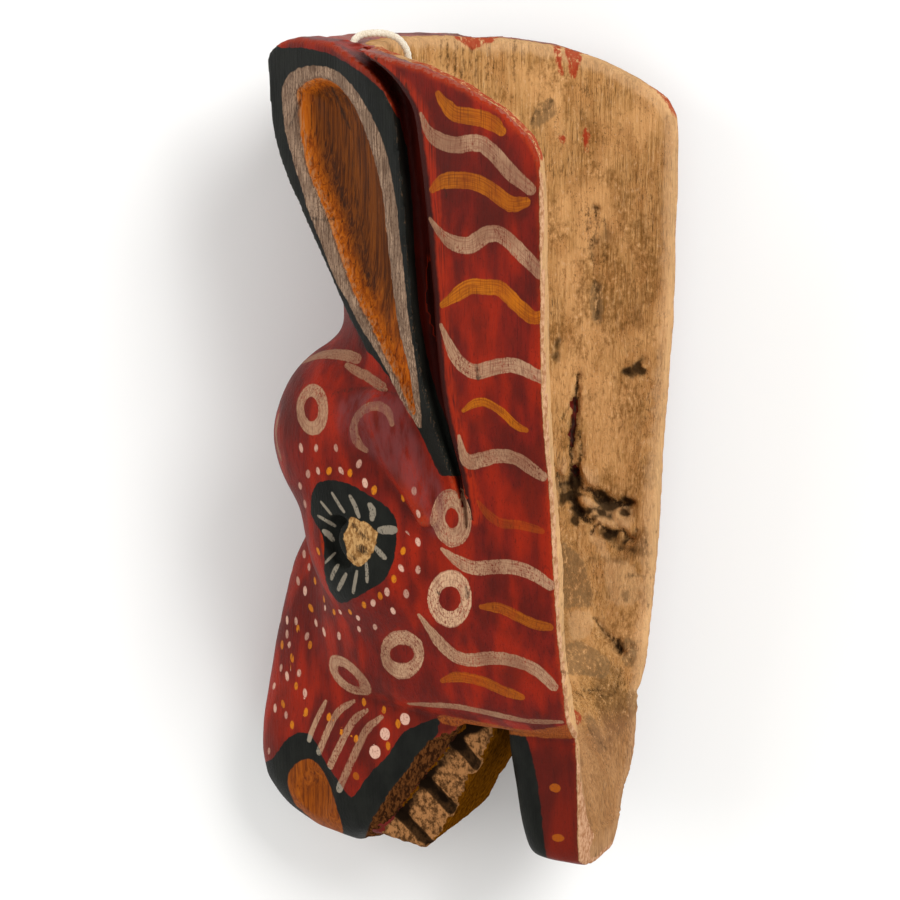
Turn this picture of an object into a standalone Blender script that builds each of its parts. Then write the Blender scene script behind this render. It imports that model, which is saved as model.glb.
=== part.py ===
"""Carved and painted wooden animal mask, lying on its right side.

The mask is one carved block: a trough-shaped head wall open at the top and at
the back, two cupped ears on the front corners, round brows, a long muzzle with
a bared row of upper teeth, and a lower jaw.  A short cotton loop for hanging
comes up out of a hole in the top of the wall, behind the left ear, and goes
over the edge and down inside.

It is modelled upright in the carver's frame, in millimetres (x to the wearer's
left, y to the back with the rim of the back at y = 0, z up), and is then laid
on its right side at the end.
"""
import math

import bmesh
import bpy
import numpy as np
from mathutils import Matrix, Vector

MM = 0.001

# ---- driving sizes, millimetres -------------------------------------------
EAR_FRONT = (24.0, -138.0)      # front edge of the ear's face, seen from above
EAR_RUN = (0.528, 0.849)        # direction of the ear's face, front to back
EAR_OUT = (0.849, -0.528)       # the way the ear's face looks
EAR_THICK = 14.0
SCOOP_DEEP = 8.5
RIGHT_EAR_LOW = 4.0             # the right ear ends a little lower

CORD_DIA = 3.0
CORD_HOLE = 5.0
# the string's run: out of the slanting hole, over the top edge, down inside
CORD_RUN = [
    (29.9, -96.0, 155.6), (28.9, -97.8, 159.0), (27.9, -99.6, 162.4), (26.6, -100.4, 165.3), (24.3, -99.9, 167.6),
    (21.4, -98.4, 168.8), (17.6, -95.4, 169.2), (13.5, -91.7, 168.7), (10.0, -88.2, 166.6), (7.8, -85.9, 163.0),
    (6.7, -85.1, 158.8), (6.3, -85.9, 155.2),
]
HOLE_INSIDE = (23.5, -82.0, 148.0)
KNOT_R = 5.0
KNOT_AT = (6.3, -87.0, 149.6)

# The side it lies on: turned about the long axis, then tipped head to chin,
# and moved so that the middle of its footprint is the origin.  What would lie
# under the surface is taken off, which leaves a small flat.
TURN_DEG = 22.0
TIP_DEG = 8.7
LIE_SHIFT = (55.9, -5.3, 91.4)

# Head wall, outside: height, half width, depth, and how full the level section
# is towards the side and towards the front (2 and 2 make a half ellipse)
HEAD = [
    (-108, 33, 50, 4, 2.0), (-102, 41, 78, 4.5, 1.8), (-98, 46, 96, 5, 1.7), (-94, 48.5, 106, 5, 1.7),
    (-88, 50.5, 112, 5, 1.7), (-75, 54, 115, 5, 1.7), (-52, 60.5, 116, 5, 1.7), (-27, 64.5, 116, 4.2, 1.75),
    (0, 69, 113, 3.0, 1.9), (25, 75, 111, 2.3, 2.0), (55, 79, 111, 2.05, 2.0), (95, 80.5, 113.5, 2.0, 2.0),
    (120, 82, 116, 2.0, 2.0), (186, 82.5, 123, 2.0, 2.0),
]
# Hollow, from the back and open at the top
HOLLOW = [
    (-151, 15, 0.6, 2.2, 2.2), (-140, 24, 3, 2.2, 2.2), (-125, 29, 7, 2.3, 2.3), (-110, 34, 15, 2.3, 2.3),
    (-95, 40, 27, 2.4, 2.4), (-75, 46.5, 46, 2.4, 2.4), (-50, 53, 62, 2.4, 2.4), (-20, 57.5, 74, 2.3, 2.3),
    (10, 64.5, 81, 2.15, 2.15), (50, 71, 87, 2.0, 2.0), (95, 73, 90, 2.0, 2.0), (125, 74.5, 92, 2.0, 2.0),
    (178, 75.5, 94, 2.0, 2.0),
]
# Top edge of the wall: distance forward of the back rim, height
TOP_EDGE = [
    (0, 123.5), (1.2, 131), (5, 138), (10, 142), (17, 147), (32, 154.5),
    (52, 160.8), (69, 163.3), (83, 164.8), (100, 165.4), (120, 166), (160, 166),
]
TOP_TILT = 2.0                  # the left wall ends this much higher, the right as much lower
# Muzzle: height, half width, depth, fullness to the side and to the front
MUZZLE = [
    (-168.5, 25, 102, 2.6, 2.4), (-166, 29, 116, 2.8, 2.4), (-161.5, 32, 130, 3.2, 2.5), (-156, 34, 138, 3.5, 2.5),
    (-150, 35, 143.5, 3.8, 2.5), (-141, 36, 148.5, 4, 2.5), (-131, 36.5, 150, 4, 2.5), (-120, 37, 149.5, 4, 2.5),
    (-105, 37, 147, 3.8, 2.4), (-84, 36.5, 144, 3.6, 2.4), (-67, 36, 140.5, 3.4, 2.4), (-49, 35, 135.5, 3.2, 2.3),
    (-30, 32, 126, 3, 2.3), (-8, 26, 112, 3, 2.3),
]
# Lower jaw: height, half width, depth, fullness to the side and to the front
JAW = [
    (-164, 14, 18, 2.6, 2.6), (-161.5, 25, 24, 3.4, 3.4), (-158, 31.5, 26.8, 4.2, 4.2), (-152, 33.5, 28, 5, 5),
    (-146, 34, 29, 5.5, 5.5), (-136, 34.5, 30.4, 6, 6), (-122, 35.5, 32.4, 6, 6), (-108, 37, 34.2, 6, 6),
    (-96, 38, 35, 6, 6),
]
# Ear: height, front edge and back edge along the face, how far the face stands
EAR = [
    (169, 25, 36, -3.0), (168, 18, 43, -1.5), (165.5, 8, 53, -0.4), (160, -1.2, 70, 0),
    (153, -2.0, 80.5, 0), (145, -1.0, 87, 0), (130, 1.6, 90.3, 0), (114, 9.5, 93, 0),
    (100, 21, 94.6, 0), (85, 34, 96.2, 0), (71, 45.5, 98, 0), (54.5, 58, 99.4, -1.7),
    (35, 72, 101, -5.1), (19, 84, 103.5, -9.0), (5, 93, 105.5, -13.2), (-13, 101, 106.3, -18.5),
]
# Scoop in the ear: height, front edge and back edge along the face
SCOOP = [
    (153.5, 29, 42), (150.5, 24.5, 48), (145, 21.8, 54.5), (134, 19.8, 62.5), (122, 24.5, 68),
    (108, 32.5, 71.8), (90, 46.2, 75.8), (72, 57, 81.5), (55, 68.5, 87), (40, 79.5, 92), (28, 89, 95.5),
]


def table(rows, z):
    """Smooth reading of a table of stations, with no overshoot between them."""
    a = np.array(sorted(rows), float)
    x = a[:, 0]
    z = float(min(max(z, x[0]), x[-1]))
    i = int(min(max(np.searchsorted(x, z) - 1, 0), len(x) - 2))
    h = np.diff(x)
    t = (z - x[i]) / h[i]
    out = []
    for c in range(1, a.shape[1]):
        y = a[:, c]
        d = np.diff(y) / h
        m = [d[0]] + [0.0 if d[k - 1] * d[k] <= 0 else
                      2 * d[k - 1] * d[k] / (d[k - 1] + d[k]) for k in range(1, len(d))] + [d[-1]]
        out.append((1 + 2 * t) * (1 - t) ** 2 * y[i] + t * (1 - t) ** 2 * h[i] * m[i]
                   + t * t * (3 - 2 * t) * y[i + 1] + t * t * (t - 1) * h[i] * m[i + 1])
    return out


def collection(name):
    c = bpy.data.collections.new(name)
    bpy.context.scene.collection.children.link(c)
    return c


def from_bmesh(name, bm, where):
    bmesh.ops.triangulate(bm, faces=[f for f in bm.faces if len(f.verts) > 4], ngon_method="EAR_CLIP")
    bmesh.ops.recalc_face_normals(bm, faces=bm.faces)
    mesh = bpy.data.meshes.new(name)
    bm.to_mesh(mesh)
    bm.free()
    ob = bpy.data.objects.new(name, mesh)
    where.objects.link(ob)
    return ob


def loft(name, rings, where):
    """A closed skin through rings of equal point count, capped at both ends."""
    bm = bmesh.new()
    loops = [[bm.verts.new(Vector(p) * MM) for p in ring] for ring in rings]
    n = len(loops[0])
    for a, b in zip(loops, loops[1:]):
        for k in range(n):
            bm.faces.new((a[k], a[(k + 1) % n], b[(k + 1) % n], b[k]))
    bm.faces.new(loops[0])
    bm.faces.new(loops[-1])
    return from_bmesh(name, bm, where)


def prism(name, outline, half_low, half_high, where):
    """An outline in the side view (y, z), given a width to both sides."""
    zs = [p[1] for p in outline]
    lo, hi = min(zs), max(zs)
    rings = []
    for side in (-1, 1):
        rings.append([(side * (half_low + (half_high - half_low) * (z - lo) / (hi - lo)), y, z)
                      for y, z in outline])
    return loft(name, rings, where)


def section(z, half, deep, side_full, front_full, count, back=4.0):
    """U-shaped level section: straight back beyond y = 0, full front."""
    ring = [(half, back, z)]
    for k in range(count + 1):
        a = math.pi * k / count
        c, s = math.cos(a), math.sin(a)
        x = half * math.copysign(abs(c) ** (2 / side_full), c)
        y = -deep * abs(s) ** (2 / front_full)
        ring.append((x, y, z))
    ring.append((-half, back, z))
    return ring


def levels(rows, step):
    z0, z1 = min(r[0] for r in rows), max(r[0] for r in rows)
    n = max(2, round((z1 - z0) / step))
    own = [r[0] for r in rows]
    even = [z0 + (z1 - z0) * k / n for k in range(n + 1)]
    keep = sorted(own + [z for z in even if min(abs(z - o) for o in own) > 0.45 * step])
    return keep


def sections(name, rows, step, count, where, back=4.0):
    return loft(name, [section(z, *table(rows, z), count, back) for z in levels(rows, step)], where)


def on_ear(t, n, z, side):
    if side < 0 and z > 60:
        z -= RIGHT_EAR_LOW * min(1.0, (z - 60) / 90)
    x = EAR_FRONT[0] + EAR_RUN[0] * t + EAR_OUT[0] * n
    y = EAR_FRONT[1] + EAR_RUN[1] * t + EAR_OUT[1] * n
    return (side * x, y, z)


def apply(ob, kind, **settings):
    m = ob.modifiers.new(kind.title(), kind)
    for k, v in settings.items():
        setattr(m, k, v)
    deps = bpy.context.evaluated_depsgraph_get()
    mesh = bpy.data.meshes.new_from_object(ob.evaluated_get(deps))
    old = ob.data
    ob.modifiers.clear()
    ob.data = mesh
    bpy.data.meshes.remove(old)
    return ob


def boolean(ob, other, how):
    return apply(ob, "BOOLEAN", operation=how, solver="EXACT", object=other)


def ball(name, centre, radii, where, turn=(0, 0, 0), rings=14, around=22):
    bm = bmesh.new()
    bmesh.ops.create_uvsphere(bm, u_segments=around, v_segments=rings, radius=1.0)
    rot = Matrix.Rotation(turn[2], 4, "Z") @ Matrix.Rotation(turn[1], 4, "Y") @ Matrix.Rotation(turn[0], 4, "X")
    m = Matrix.Translation(Vector(centre) * MM) @ rot @ Matrix.Diagonal((*(r * MM for r in radii), 1.0))
    bm.transform(m)
    return from_bmesh(name, bm, where)


def rod(name, a, b, r0, r1, where, sides=12):
    """A straight tapered rod from a to b."""
    a, b = Vector(a), Vector(b)
    bm = bmesh.new()
    bmesh.ops.create_cone(bm, cap_ends=True, segments=sides, radius1=r0 * MM, radius2=r1 * MM,
                          depth=(b - a).length * MM)
    q = (b - a).to_track_quat("Z", "Y").to_matrix().to_4x4()
    bm.transform(Matrix.Translation((a + b) / 2 * MM) @ q)
    return from_bmesh(name, bm, where)


def material(name, colour, roughness):
    m = bpy.data.materials.new(name)
    m.use_nodes = True
    p = m.node_tree.nodes["Principled BSDF"]
    p.inputs["Base Color"].default_value = (*colour, 1)
    p.inputs["Roughness"].default_value = roughness
    p.inputs["Metallic"].default_value = 0.0
    m.diffuse_color = (*colour, 1)
    return m


def ear_ring(z, t0, t1, n0, side):
    """Level section of the ear: a slab with eased edges."""
    e = min(2.2, (t1 - t0) * 0.25)
    th = EAR_THICK
    pts = [(t0 + e, n0), (t1 - e, n0), (t1 - 0.3 * e, n0 - 0.3 * e), (t1, n0 - e),
           (t1 - 1.0, n0 - th + 2), (t1 - 3.0, n0 - th), (t0 + 3.5, n0 - th), (t0 + 1.2, n0 - th + 2.2),
           (t0, n0 - e), (t0 + 0.3 * e, n0 - 0.3 * e)]
    ring = [on_ear(t, n, z, side) for t, n in pts]
    return ring


def scoop_ring(z, t0, t1, side):
    mid, half = (t0 + t1) / 2, (t1 - t0) / 2
    n0 = table([(r[0], r[3]) for r in EAR], z)[0]
    deep = SCOOP_DEEP * min(1.0, half / 9.0) ** 0.7
    pts = [(mid + half * math.cos(math.pi * k / 8), n0 - deep * math.sin(math.pi * k / 8) ** 0.75 + 0.01)
           for k in range(9)]
    pts += [(mid - half, n0 + 8), (mid + half, n0 + 8)]
    return [on_ear(t, n, z, side) for t, n in pts]


def wall_x(y, z):
    """Half width of the head wall's outside at a distance y behind the front."""
    half, deep, side_full, front_full = table(HEAD, z)
    return half * (1 - min(1.0, abs(y) / deep) ** front_full) ** (1 / side_full)


def groove_ring(z, side):
    """Gap between the ear's back edge and the head wall, running under the ear."""
    t1, n0 = table([(r[0], r[2], r[3]) for r in EAR], z)
    k = min(1.0, max(0.0, (z + 16) / 90)) ** 0.8
    x, y = on_ear(t1 + 0.2, n0, z, 1)[:2]
    wide, deep = 1.2 + 8.8 * k, 2.0 + 8.0 * k
    lip_y = y + wide
    lip_x = wall_x(lip_y, z)
    out = max(x, lip_x) + 8
    pts = [(out, y + 0.4), (out, lip_y + 1.0), (lip_x - deep, lip_y - 0.35 * wide),
           (x - deep - 1.5, y - 2.5 * k - 0.3), (x - deep * 0.6, y - 3.0 * k - 0.3)]
    return [(side * px, py, z) for px, py in pts]


def soften(ob, cell, passes, triangles):
    """Works the joined blocks into one rounded form, as a rasp would."""
    apply(ob, "REMESH", mode="VOXEL", voxel_size=cell * MM, adaptivity=0.0)
    apply(ob, "SMOOTH", factor=0.5, iterations=passes)
    ob.data.calc_loop_triangles()
    apply(ob, "DECIMATE", decimate_type="COLLAPSE", use_collapse_triangulate=True,
          ratio=triangles / len(ob.data.loop_triangles))
    return ob


def build_mask(parts, cutters):
    mask = sections("mask", HEAD, 14, 30, parts, back=14.0)
    muzzle = sections("muzzle_block", MUZZLE, 14, 26, cutters, back=2.0)
    boolean(mask, muzzle, "UNION")
    for side in (-1, 1):
        brow = ball("brow", (side * 32, -86, 8), (31, 45.5, 44), cutters)
        boolean(mask, brow, "UNION")
        eye = ball("eye_mound", (side * 38, -78, -28), (23, 36, 36), cutters)
        boolean(mask, eye, "UNION")
    soften(mask, 3.0, 5, 5200)

    # the mouth: everything behind the slanting lip line
    mouth = prism("mouth_cut", [(-50, -105), (-53, -109.5), (-72, -135), (-90, -160.5), (-97, -166),
                                (-99, -178), (25, -178), (25, -105)], 60, 60, cutters)
    boolean(mask, mouth, "DIFFERENCE")
    # upper teeth: a wedge set back from the lip
    teeth = prism("teeth_block", [(-72, -98), (-108, -152), (-88, -160.5), (-71, -163.5), (-63, -156),
                                  (-38, -110), (-37, -98)], 25, 31, cutters)
    for side in (-1, 1):
        for y, z in ((-51, -121), (-66, -139), (-81, -153)):
            # slots between the teeth, square to the lip
            half = 25 + 6 * (z + 163.5) / 65.5
            a = Vector((side * (half + 1.6), y - 12, z + 12))
            b = Vector((side * (half + 0.4), y + 14, z - 14))
            slot = rod("slot", a, b, 3.6, 2.8, cutters, 6)
            boolean(teeth, slot, "DIFFERENCE")
    jaw = sections("jaw_block", JAW, 16, 22, cutters)
    # the chin is cut back on the right
    chin = prism("chin_cut", [(-60, -40), (40, -40), (40, 0), (-60, 0)], 60, 60, cutters)
    chin.data.transform(Matrix.Translation(Vector((-23, 0, -143.5)) * MM)
                        @ Matrix.Rotation(math.radians(52), 4, "Y"))
    boolean(jaw, chin, "DIFFERENCE")
    boolean(mask, teeth, "UNION")
    boolean(mask, jaw, "UNION")
    # top edge of the wall, rounded down to the back rim
    rings = []
    for side in (-1, 1):
        line = [(-s, z + side * TOP_TILT * 110 / 75 * min(1.0, s / 15)) for s, z in TOP_EDGE]
        rings.append([(side * 110, y, z) for y, z in [(40, 117), (0.8, 117)] + line + [(-160, 210), (40, 210)]])
    top_cut = apply(loft("top_cut", rings, cutters), "TRIANGULATE")
    boolean(mask, top_cut, "DIFFERENCE")
    for side in (-1, 1):
        ear = loft("ear", [ear_ring(z, t0, t1, n0, side) for z, t0, t1, n0 in EAR], cutters)
        boolean(mask, ear, "UNION")

    hollow = sections("hollow", HOLLOW, 14, 26, cutters, back=30.0)
    boolean(mask, hollow, "DIFFERENCE")
    for side in (-1, 1):
        groove = loft("groove", [groove_ring(z, side) for z in
                                 [-18, -8, 4, 20, 40, 62, 85, 110, 130, 148, 160, 176]], cutters)
        boolean(mask, groove, "DIFFERENCE")
        scoop = loft("scoop", [scoop_ring(z, t0, t1, side) for z, t0, t1 in SCOOP], cutters)
        boolean(mask, scoop, "DIFFERENCE")
        # eye: a rough oval recess, with a slit through to the hollow at its front
        pit = ball("eye_pit", (side * 56, -91, -27), (9, 7.5, 10), cutters, rings=8, around=12)
        boolean(mask, pit, "DIFFERENCE")
        slit = rod("eye_slit", (side * 60, -98, -26), (side * 28, -52, -28), 3.2, 3.6, cutters, 8)
        boolean(mask, slit, "DIFFERENCE")
        nostril = ball("nostril", (side * 27, -126, -142), (13, 13, 21), cutters,
                       turn=(math.radians(-20), 0, 0), rings=10, around=16)
        boolean(mask, nostril, "DIFFERENCE")
    # the string's hole: drilled from the top and from inside, its mouth worn
    a, b = Vector(CORD_RUN[0]), Vector(CORD_RUN[2])
    along = (b - a).normalized()
    for p, q in ((a - along * 3.0, b + along * 12.0), (a - along * 0.5, Vector(HOLE_INSIDE))):
        boolean(mask, rod("cord_hole", p, q, CORD_HOLE / 2, CORD_HOLE / 2, cutters, 12), "DIFFERENCE")
    worn = ball("hole_mouth", Vector(CORD_RUN[4]) + Vector((1.6, -0.4, 0.6)), (4.4, 4.0, 4.2), cutters, rings=8, around=12)
    boolean(mask, worn, "DIFFERENCE")

    # the back is sawn flat: the rim lies in one plane
    bm = bmesh.new()
    bmesh.ops.create_cube(bm, size=1.0)
    bm.transform(Matrix.Translation(Vector((0, 25, 0)) * MM) @ Matrix.Diagonal((0.3, 0.05, 0.5, 1.0)))
    back = from_bmesh("back_cut", bm, cutters)
    boolean(mask, back, "DIFFERENCE")
    return mask


def route(points, step):
    """Evenly spaced points on a smooth curve through the given ones."""
    p = [Vector(points[0]) * 2 - Vector(points[1])] + [Vector(q) for q in points]
    p.append(p[-1] * 2 - p[-2])
    fine = []
    for a, b, c, d in zip(p, p[1:], p[2:], p[3:]):
        for k in range(24):
            t = k / 24
            fine.append(0.5 * (2 * b + (c - a) * t + (2 * a - 5 * b + 4 * c - d) * t * t
                               + (3 * b - a - 3 * c + d) * t ** 3))
    fine.append(p[-2])
    run = [0.0]
    for a, b in zip(fine, fine[1:]):
        run.append(run[-1] + (b - a).length)
    n = max(2, round(run[-1] / step))
    out, j = [], 0
    for k in range(n + 1):
        s = run[-1] * k / n
        while j < len(run) - 2 and run[j + 1] < s:
            j += 1
        out.append(fine[j].lerp(fine[j + 1], (s - run[j]) / (run[j + 1] - run[j])))
    return out


def build_cord(parts):
    curve = bpy.data.curves.new("hanging_cord", "CURVE")
    curve.dimensions = "3D"
    curve.bevel_depth = CORD_DIA / 2 * MM
    curve.bevel_resolution = 2
    curve.use_fill_caps = True
    points = route(CORD_RUN, 2.6)
    spline = curve.splines.new("POLY")
    spline.points.add(len(points) - 1)
    for q, p in zip(spline.points, points):
        q.co = (*(p * MM), 1)
    ob = bpy.data.objects.new("hanging_cord", curve)
    parts.objects.link(ob)
    return ob


def build_knot(parts):
    return ball("cord_knot", KNOT_AT, (KNOT_R, KNOT_R * 0.92, KNOT_R), parts, rings=12, around=18)


def lying():
    """From the carver's frame to the mask lying on its right side."""
    turn = Matrix.Rotation(-math.radians(TURN_DEG), 4, "Z")
    tip = Matrix.Rotation(math.radians(TIP_DEG), 4, "Y")
    over = Matrix(((0, 1, 0, 0), (0, 0, 1, 0), (1, 0, 0, 0), (0, 0, 0, 1)))
    return Matrix.Translation(Vector(LIE_SHIFT) * MM) @ over @ tip @ turn


def main():
    for ob in list(bpy.data.objects):
        bpy.data.objects.remove(ob)
    parts = collection("animal_mask")
    cutters = collection("cutters")
    mask = build_mask(parts, cutters)
    cord = build_cord(parts)
    knot = build_knot(parts)
    for ob in (mask, cord, knot):
        ob.data.transform(lying())
    bm = bmesh.new()
    bmesh.ops.create_cube(bm, size=1.0)
    bm.transform(Matrix.Translation(Vector((0, 0, -25)) * MM) @ Matrix.Diagonal((0.5, 0.6, 0.05, 1.0)))
    boolean(mask, from_bmesh("rest_flat", bm, cutters), "DIFFERENCE")

    wood = material("painted_wood", (0.33, 0.03, 0.02), 0.45)
    cotton = material("cotton_string", (0.78, 0.75, 0.68), 0.9)
    for ob, m in ((mask, wood), (cord, cotton), (knot, cotton)):
        ob.data.materials.clear()
        ob.data.materials.append(m)
    mask.data.shade_smooth()
    mask.data.set_sharp_from_angle(angle=math.radians(35))
    knot.data.shade_smooth()
    for ob in cutters.objects:
        ob.hide_render = True
        ob.display_type = "WIRE"


if __name__ == "__main__":
    main()
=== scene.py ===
import math

import bpy
import numpy as np
from mathutils import Matrix, Vector
from mathutils.bvhtree import BVHTree


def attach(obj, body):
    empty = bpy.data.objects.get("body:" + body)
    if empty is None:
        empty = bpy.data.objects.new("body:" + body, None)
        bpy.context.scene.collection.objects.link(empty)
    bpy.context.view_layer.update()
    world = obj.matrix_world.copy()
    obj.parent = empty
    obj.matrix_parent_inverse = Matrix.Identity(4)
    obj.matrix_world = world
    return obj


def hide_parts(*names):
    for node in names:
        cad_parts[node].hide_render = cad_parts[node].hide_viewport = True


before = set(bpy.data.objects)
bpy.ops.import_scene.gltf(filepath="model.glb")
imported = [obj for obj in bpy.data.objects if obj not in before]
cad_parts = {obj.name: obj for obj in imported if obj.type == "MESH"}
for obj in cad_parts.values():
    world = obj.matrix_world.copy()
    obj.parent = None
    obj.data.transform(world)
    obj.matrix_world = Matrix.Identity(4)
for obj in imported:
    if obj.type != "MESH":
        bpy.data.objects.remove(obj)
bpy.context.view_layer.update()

MM = 0.001
SEED = 11

# =========================================================================
# The mask is worked out upright in the carver's frame, in millimetres
# (x to the wearer's left, y to the back with the rim at y = 0, z up), and
# laid on its right side as the frame has it.
# =========================================================================
TURN_DEG, TIP_DEG = 22.0, 8.7
LIE_SHIFT = (55.9, -5.3, 91.4)

EAR_FRONT = np.array((24.0, -138.0))
EAR_RUN = np.array((0.528, 0.849))
EAR_OUT = np.array((0.849, -0.528))
EAR_THICK = 14.0
RIGHT_EAR_LOW = 4.0
CORD_DIA, CORD_HOLE, KNOT_R = 3.0, 5.0, 5.0
CORD_RUN = [
    (29.9, -96.0, 155.6), (28.9, -97.8, 159.0), (27.9, -99.6, 162.4), (26.6, -100.4, 165.3), (24.3, -99.9, 167.6),
    (21.4, -98.4, 168.8), (17.6, -95.4, 169.2), (13.5, -91.7, 168.7), (10.0, -88.2, 166.6), (7.8, -85.9, 163.0),
    (6.7, -85.1, 158.8), (6.3, -85.9, 155.2),
]
HOLE_INSIDE = (23.5, -82.0, 148.0)
KNOT_AT = (6.3, -87.0, 149.6)

HEAD = [
    (-108, 33, 50, 4, 2.0), (-102, 41, 78, 4.5, 1.8), (-98, 46, 96, 5, 1.7), (-94, 48.5, 106, 5, 1.7),
    (-88, 50.5, 112, 5, 1.7), (-75, 54, 115, 5, 1.7), (-52, 60.5, 116, 5, 1.7), (-27, 64.5, 116, 4.2, 1.75),
    (0, 69, 113, 3.0, 1.9), (25, 75, 111, 2.3, 2.0), (55, 79, 111, 2.05, 2.0), (95, 80.5, 113.5, 2.0, 2.0),
    (120, 82, 116, 2.0, 2.0), (186, 82.5, 123, 2.0, 2.0),
]
HOLLOW = [
    (-151, 15, 0.6, 2.2, 2.2), (-140, 24, 3, 2.2, 2.2), (-125, 29, 7, 2.3, 2.3), (-110, 34, 15, 2.3, 2.3),
    (-95, 40, 27, 2.4, 2.4), (-75, 46.5, 46, 2.4, 2.4), (-50, 53, 62, 2.4, 2.4), (-20, 57.5, 74, 2.3, 2.3),
    (10, 64.5, 81, 2.15, 2.15), (50, 71, 87, 2.0, 2.0), (95, 73, 90, 2.0, 2.0), (125, 74.5, 92, 2.0, 2.0),
    (178, 75.5, 94, 2.0, 2.0),
]
TOP_EDGE = [
    (0, 123.5), (1.2, 131), (5, 138), (10, 142), (17, 147), (32, 154.5),
    (52, 160.8), (69, 163.3), (83, 164.8), (100, 165.4), (120, 166), (160, 166),
]
TOP_TILT = 2.0
MUZZLE = [
    (-168.5, 25, 102, 2.6, 2.4), (-166, 29, 116, 2.8, 2.4), (-161.5, 32, 130, 3.2, 2.5), (-156, 34, 138, 3.5, 2.5),
    (-150, 35, 143.5, 3.8, 2.5), (-141, 36, 148.5, 4, 2.5), (-131, 36.5, 150, 4, 2.5), (-120, 37, 149.5, 4, 2.5),
    (-105, 37, 147, 3.8, 2.4), (-84, 36.5, 144, 3.6, 2.4), (-67, 36, 140.5, 3.4, 2.4), (-49, 35, 135.5, 3.2, 2.3),
    (-30, 32, 126, 3, 2.3), (-8, 26, 112, 3, 2.3),
]
JAW = [
    (-164, 14, 18, 2.6, 2.6), (-161.5, 25, 24, 3.4, 3.4), (-158, 31.5, 26.8, 4.2, 4.2), (-152, 33.5, 28, 5, 5),
    (-146, 34, 29, 5.5, 5.5), (-136, 34.5, 30.4, 6, 6), (-122, 35.5, 32.4, 6, 6), (-108, 37, 34.2, 6, 6),
    (-96, 38, 35, 6, 6),
]
EAR = [
    (169, 25, 36, -3.0), (168, 18, 43, -1.5), (165.5, 8, 53, -0.4), (160, -1.2, 70, 0),
    (153, -2.0, 80.5, 0), (145, -1.0, 87, 0), (130, 1.6, 90.3, 0), (114, 9.5, 93, 0),
    (100, 21, 94.6, 0), (85, 34, 96.2, 0), (71, 45.5, 98, 0), (54.5, 58, 99.4, -1.7),
    (35, 72, 101, -5.1), (19, 84, 103.5, -9.0), (5, 93, 105.5, -13.2), (-13, 101, 106.3, -18.5),
]
# on the ear's face, (t, z): outline of the white border and of the scoop
# the ear's scoop and the white border round it, in the picture
SCOOP_SEEN = [
    (298, 106), (296, 94), (303, 84), (318, 78), (334, 84), (348, 98), (359, 118), (367, 138), (374, 161), (380, 188),
    (384, 215), (387, 247), (390, 275), (394, 302), (399, 334), (406, 362), (411, 388), (415, 416), (406, 402), (395, 378),
    (381, 350), (366, 320), (355, 298), (343, 268), (335, 243), (327, 220), (318, 197), (309, 175), (303, 152), (299, 129),
]
WHITE_SEEN = [
    (282, 106), (281, 90), (288, 75), (303, 67), (322, 66), (340, 73), (356, 88), (368, 106), (379, 129), (386, 152),
    (391, 175), (396, 202), (399, 229), (402, 256), (406, 293), (411, 334), (416, 366), (419, 392), (422, 428), (410, 412),
    (396, 388), (380, 358), (362, 330), (347, 300), (339, 288), (331, 270), (321, 243), (310, 215), (301, 188), (294, 165), (288, 143), (284, 125),
]
MOUTH = [(-50, -105), (-53, -109.5), (-72, -135), (-90, -160.5), (-97, -166), (-99, -178), (25, -178), (25, -105)]
TOOTH_SLOTS = [((-56.5, -113), (-40, -131), 2.2), ((-72, -131.5), (-52, -150), 2.5), ((-84, -147), (-67, -163), 2.2)]
TEETH = [(-72, -98), (-108, -152), (-88, -160.5), (-71, -163.5), (-63, -156), (-38, -110), (-37, -98)]


def lying():
    turn = Matrix.Rotation(-math.radians(TURN_DEG), 4, "Z")
    tip = Matrix.Rotation(math.radians(TIP_DEG), 4, "Y")
    over = Matrix(((0, 1, 0, 0), (0, 0, 1, 0), (1, 0, 0, 0), (0, 0, 0, 1)))
    return Matrix.Translation(Vector(LIE_SHIFT) * MM) @ over @ tip @ turn


LIE = lying()
LIE_ROT = np.array(LIE.to_3x3())


def to_world(points):
    """Carver's frame in millimetres to the frame in metres."""
    p = np.asarray(points, float).reshape(-1, 3)
    return p * MM @ LIE_ROT.T + np.array(LIE.translation)


# =========================================================================
# Camera: the photograph's own, worked out from the mask's known shape.
# The picture is 900 x 900.
# =========================================================================
CAM_TURN, CAM_RISE, CAM_FAR, CAM_F = math.radians(22), math.radians(12), 1400.0, 3444.0
CAM_AT = np.array((3.8, -68.3, 0.0))
_cb, _sb, _ce, _se = math.cos(CAM_TURN), math.sin(CAM_TURN), math.cos(CAM_RISE), math.sin(CAM_RISE)
CAM_C = np.array((_cb * _ce, _sb * _ce, _se))
CAM_R = np.array((-_sb, _cb, 0.0))
CAM_U = np.array((-_cb * _se, -_sb * _se, _ce))


def project(p):
    q = np.asarray(p, float) - CAM_AT
    d = CAM_FAR - q @ CAM_C
    return np.stack((450 + CAM_F * (q @ CAM_R) / d, 450 - CAM_F * (q @ CAM_U) / d), -1)


def sight(px, py):
    d = -CAM_C + (px - 450) / CAM_F * CAM_R - (py - 450) / CAM_F * CAM_U
    return CAM_AT + CAM_FAR * CAM_C, d / np.linalg.norm(d)


cam_data = bpy.data.cameras.new("camera")
cam_data.sensor_width = 36.0
cam_data.lens = CAM_F / 900 * 36.0
cam_data.clip_start, cam_data.clip_end = 0.05, 20.0
camera = bpy.data.objects.new("camera", cam_data)
bpy.context.scene.collection.objects.link(camera)
_axes = np.stack((LIE_ROT @ CAM_R, LIE_ROT @ CAM_U, LIE_ROT @ CAM_C), 1)
_cm = Matrix(_axes.tolist()).to_4x4()
_cm.translation = Vector(to_world(CAM_AT + CAM_FAR * CAM_C)[0])
camera.matrix_world = _cm
bpy.context.scene.camera = camera


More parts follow.
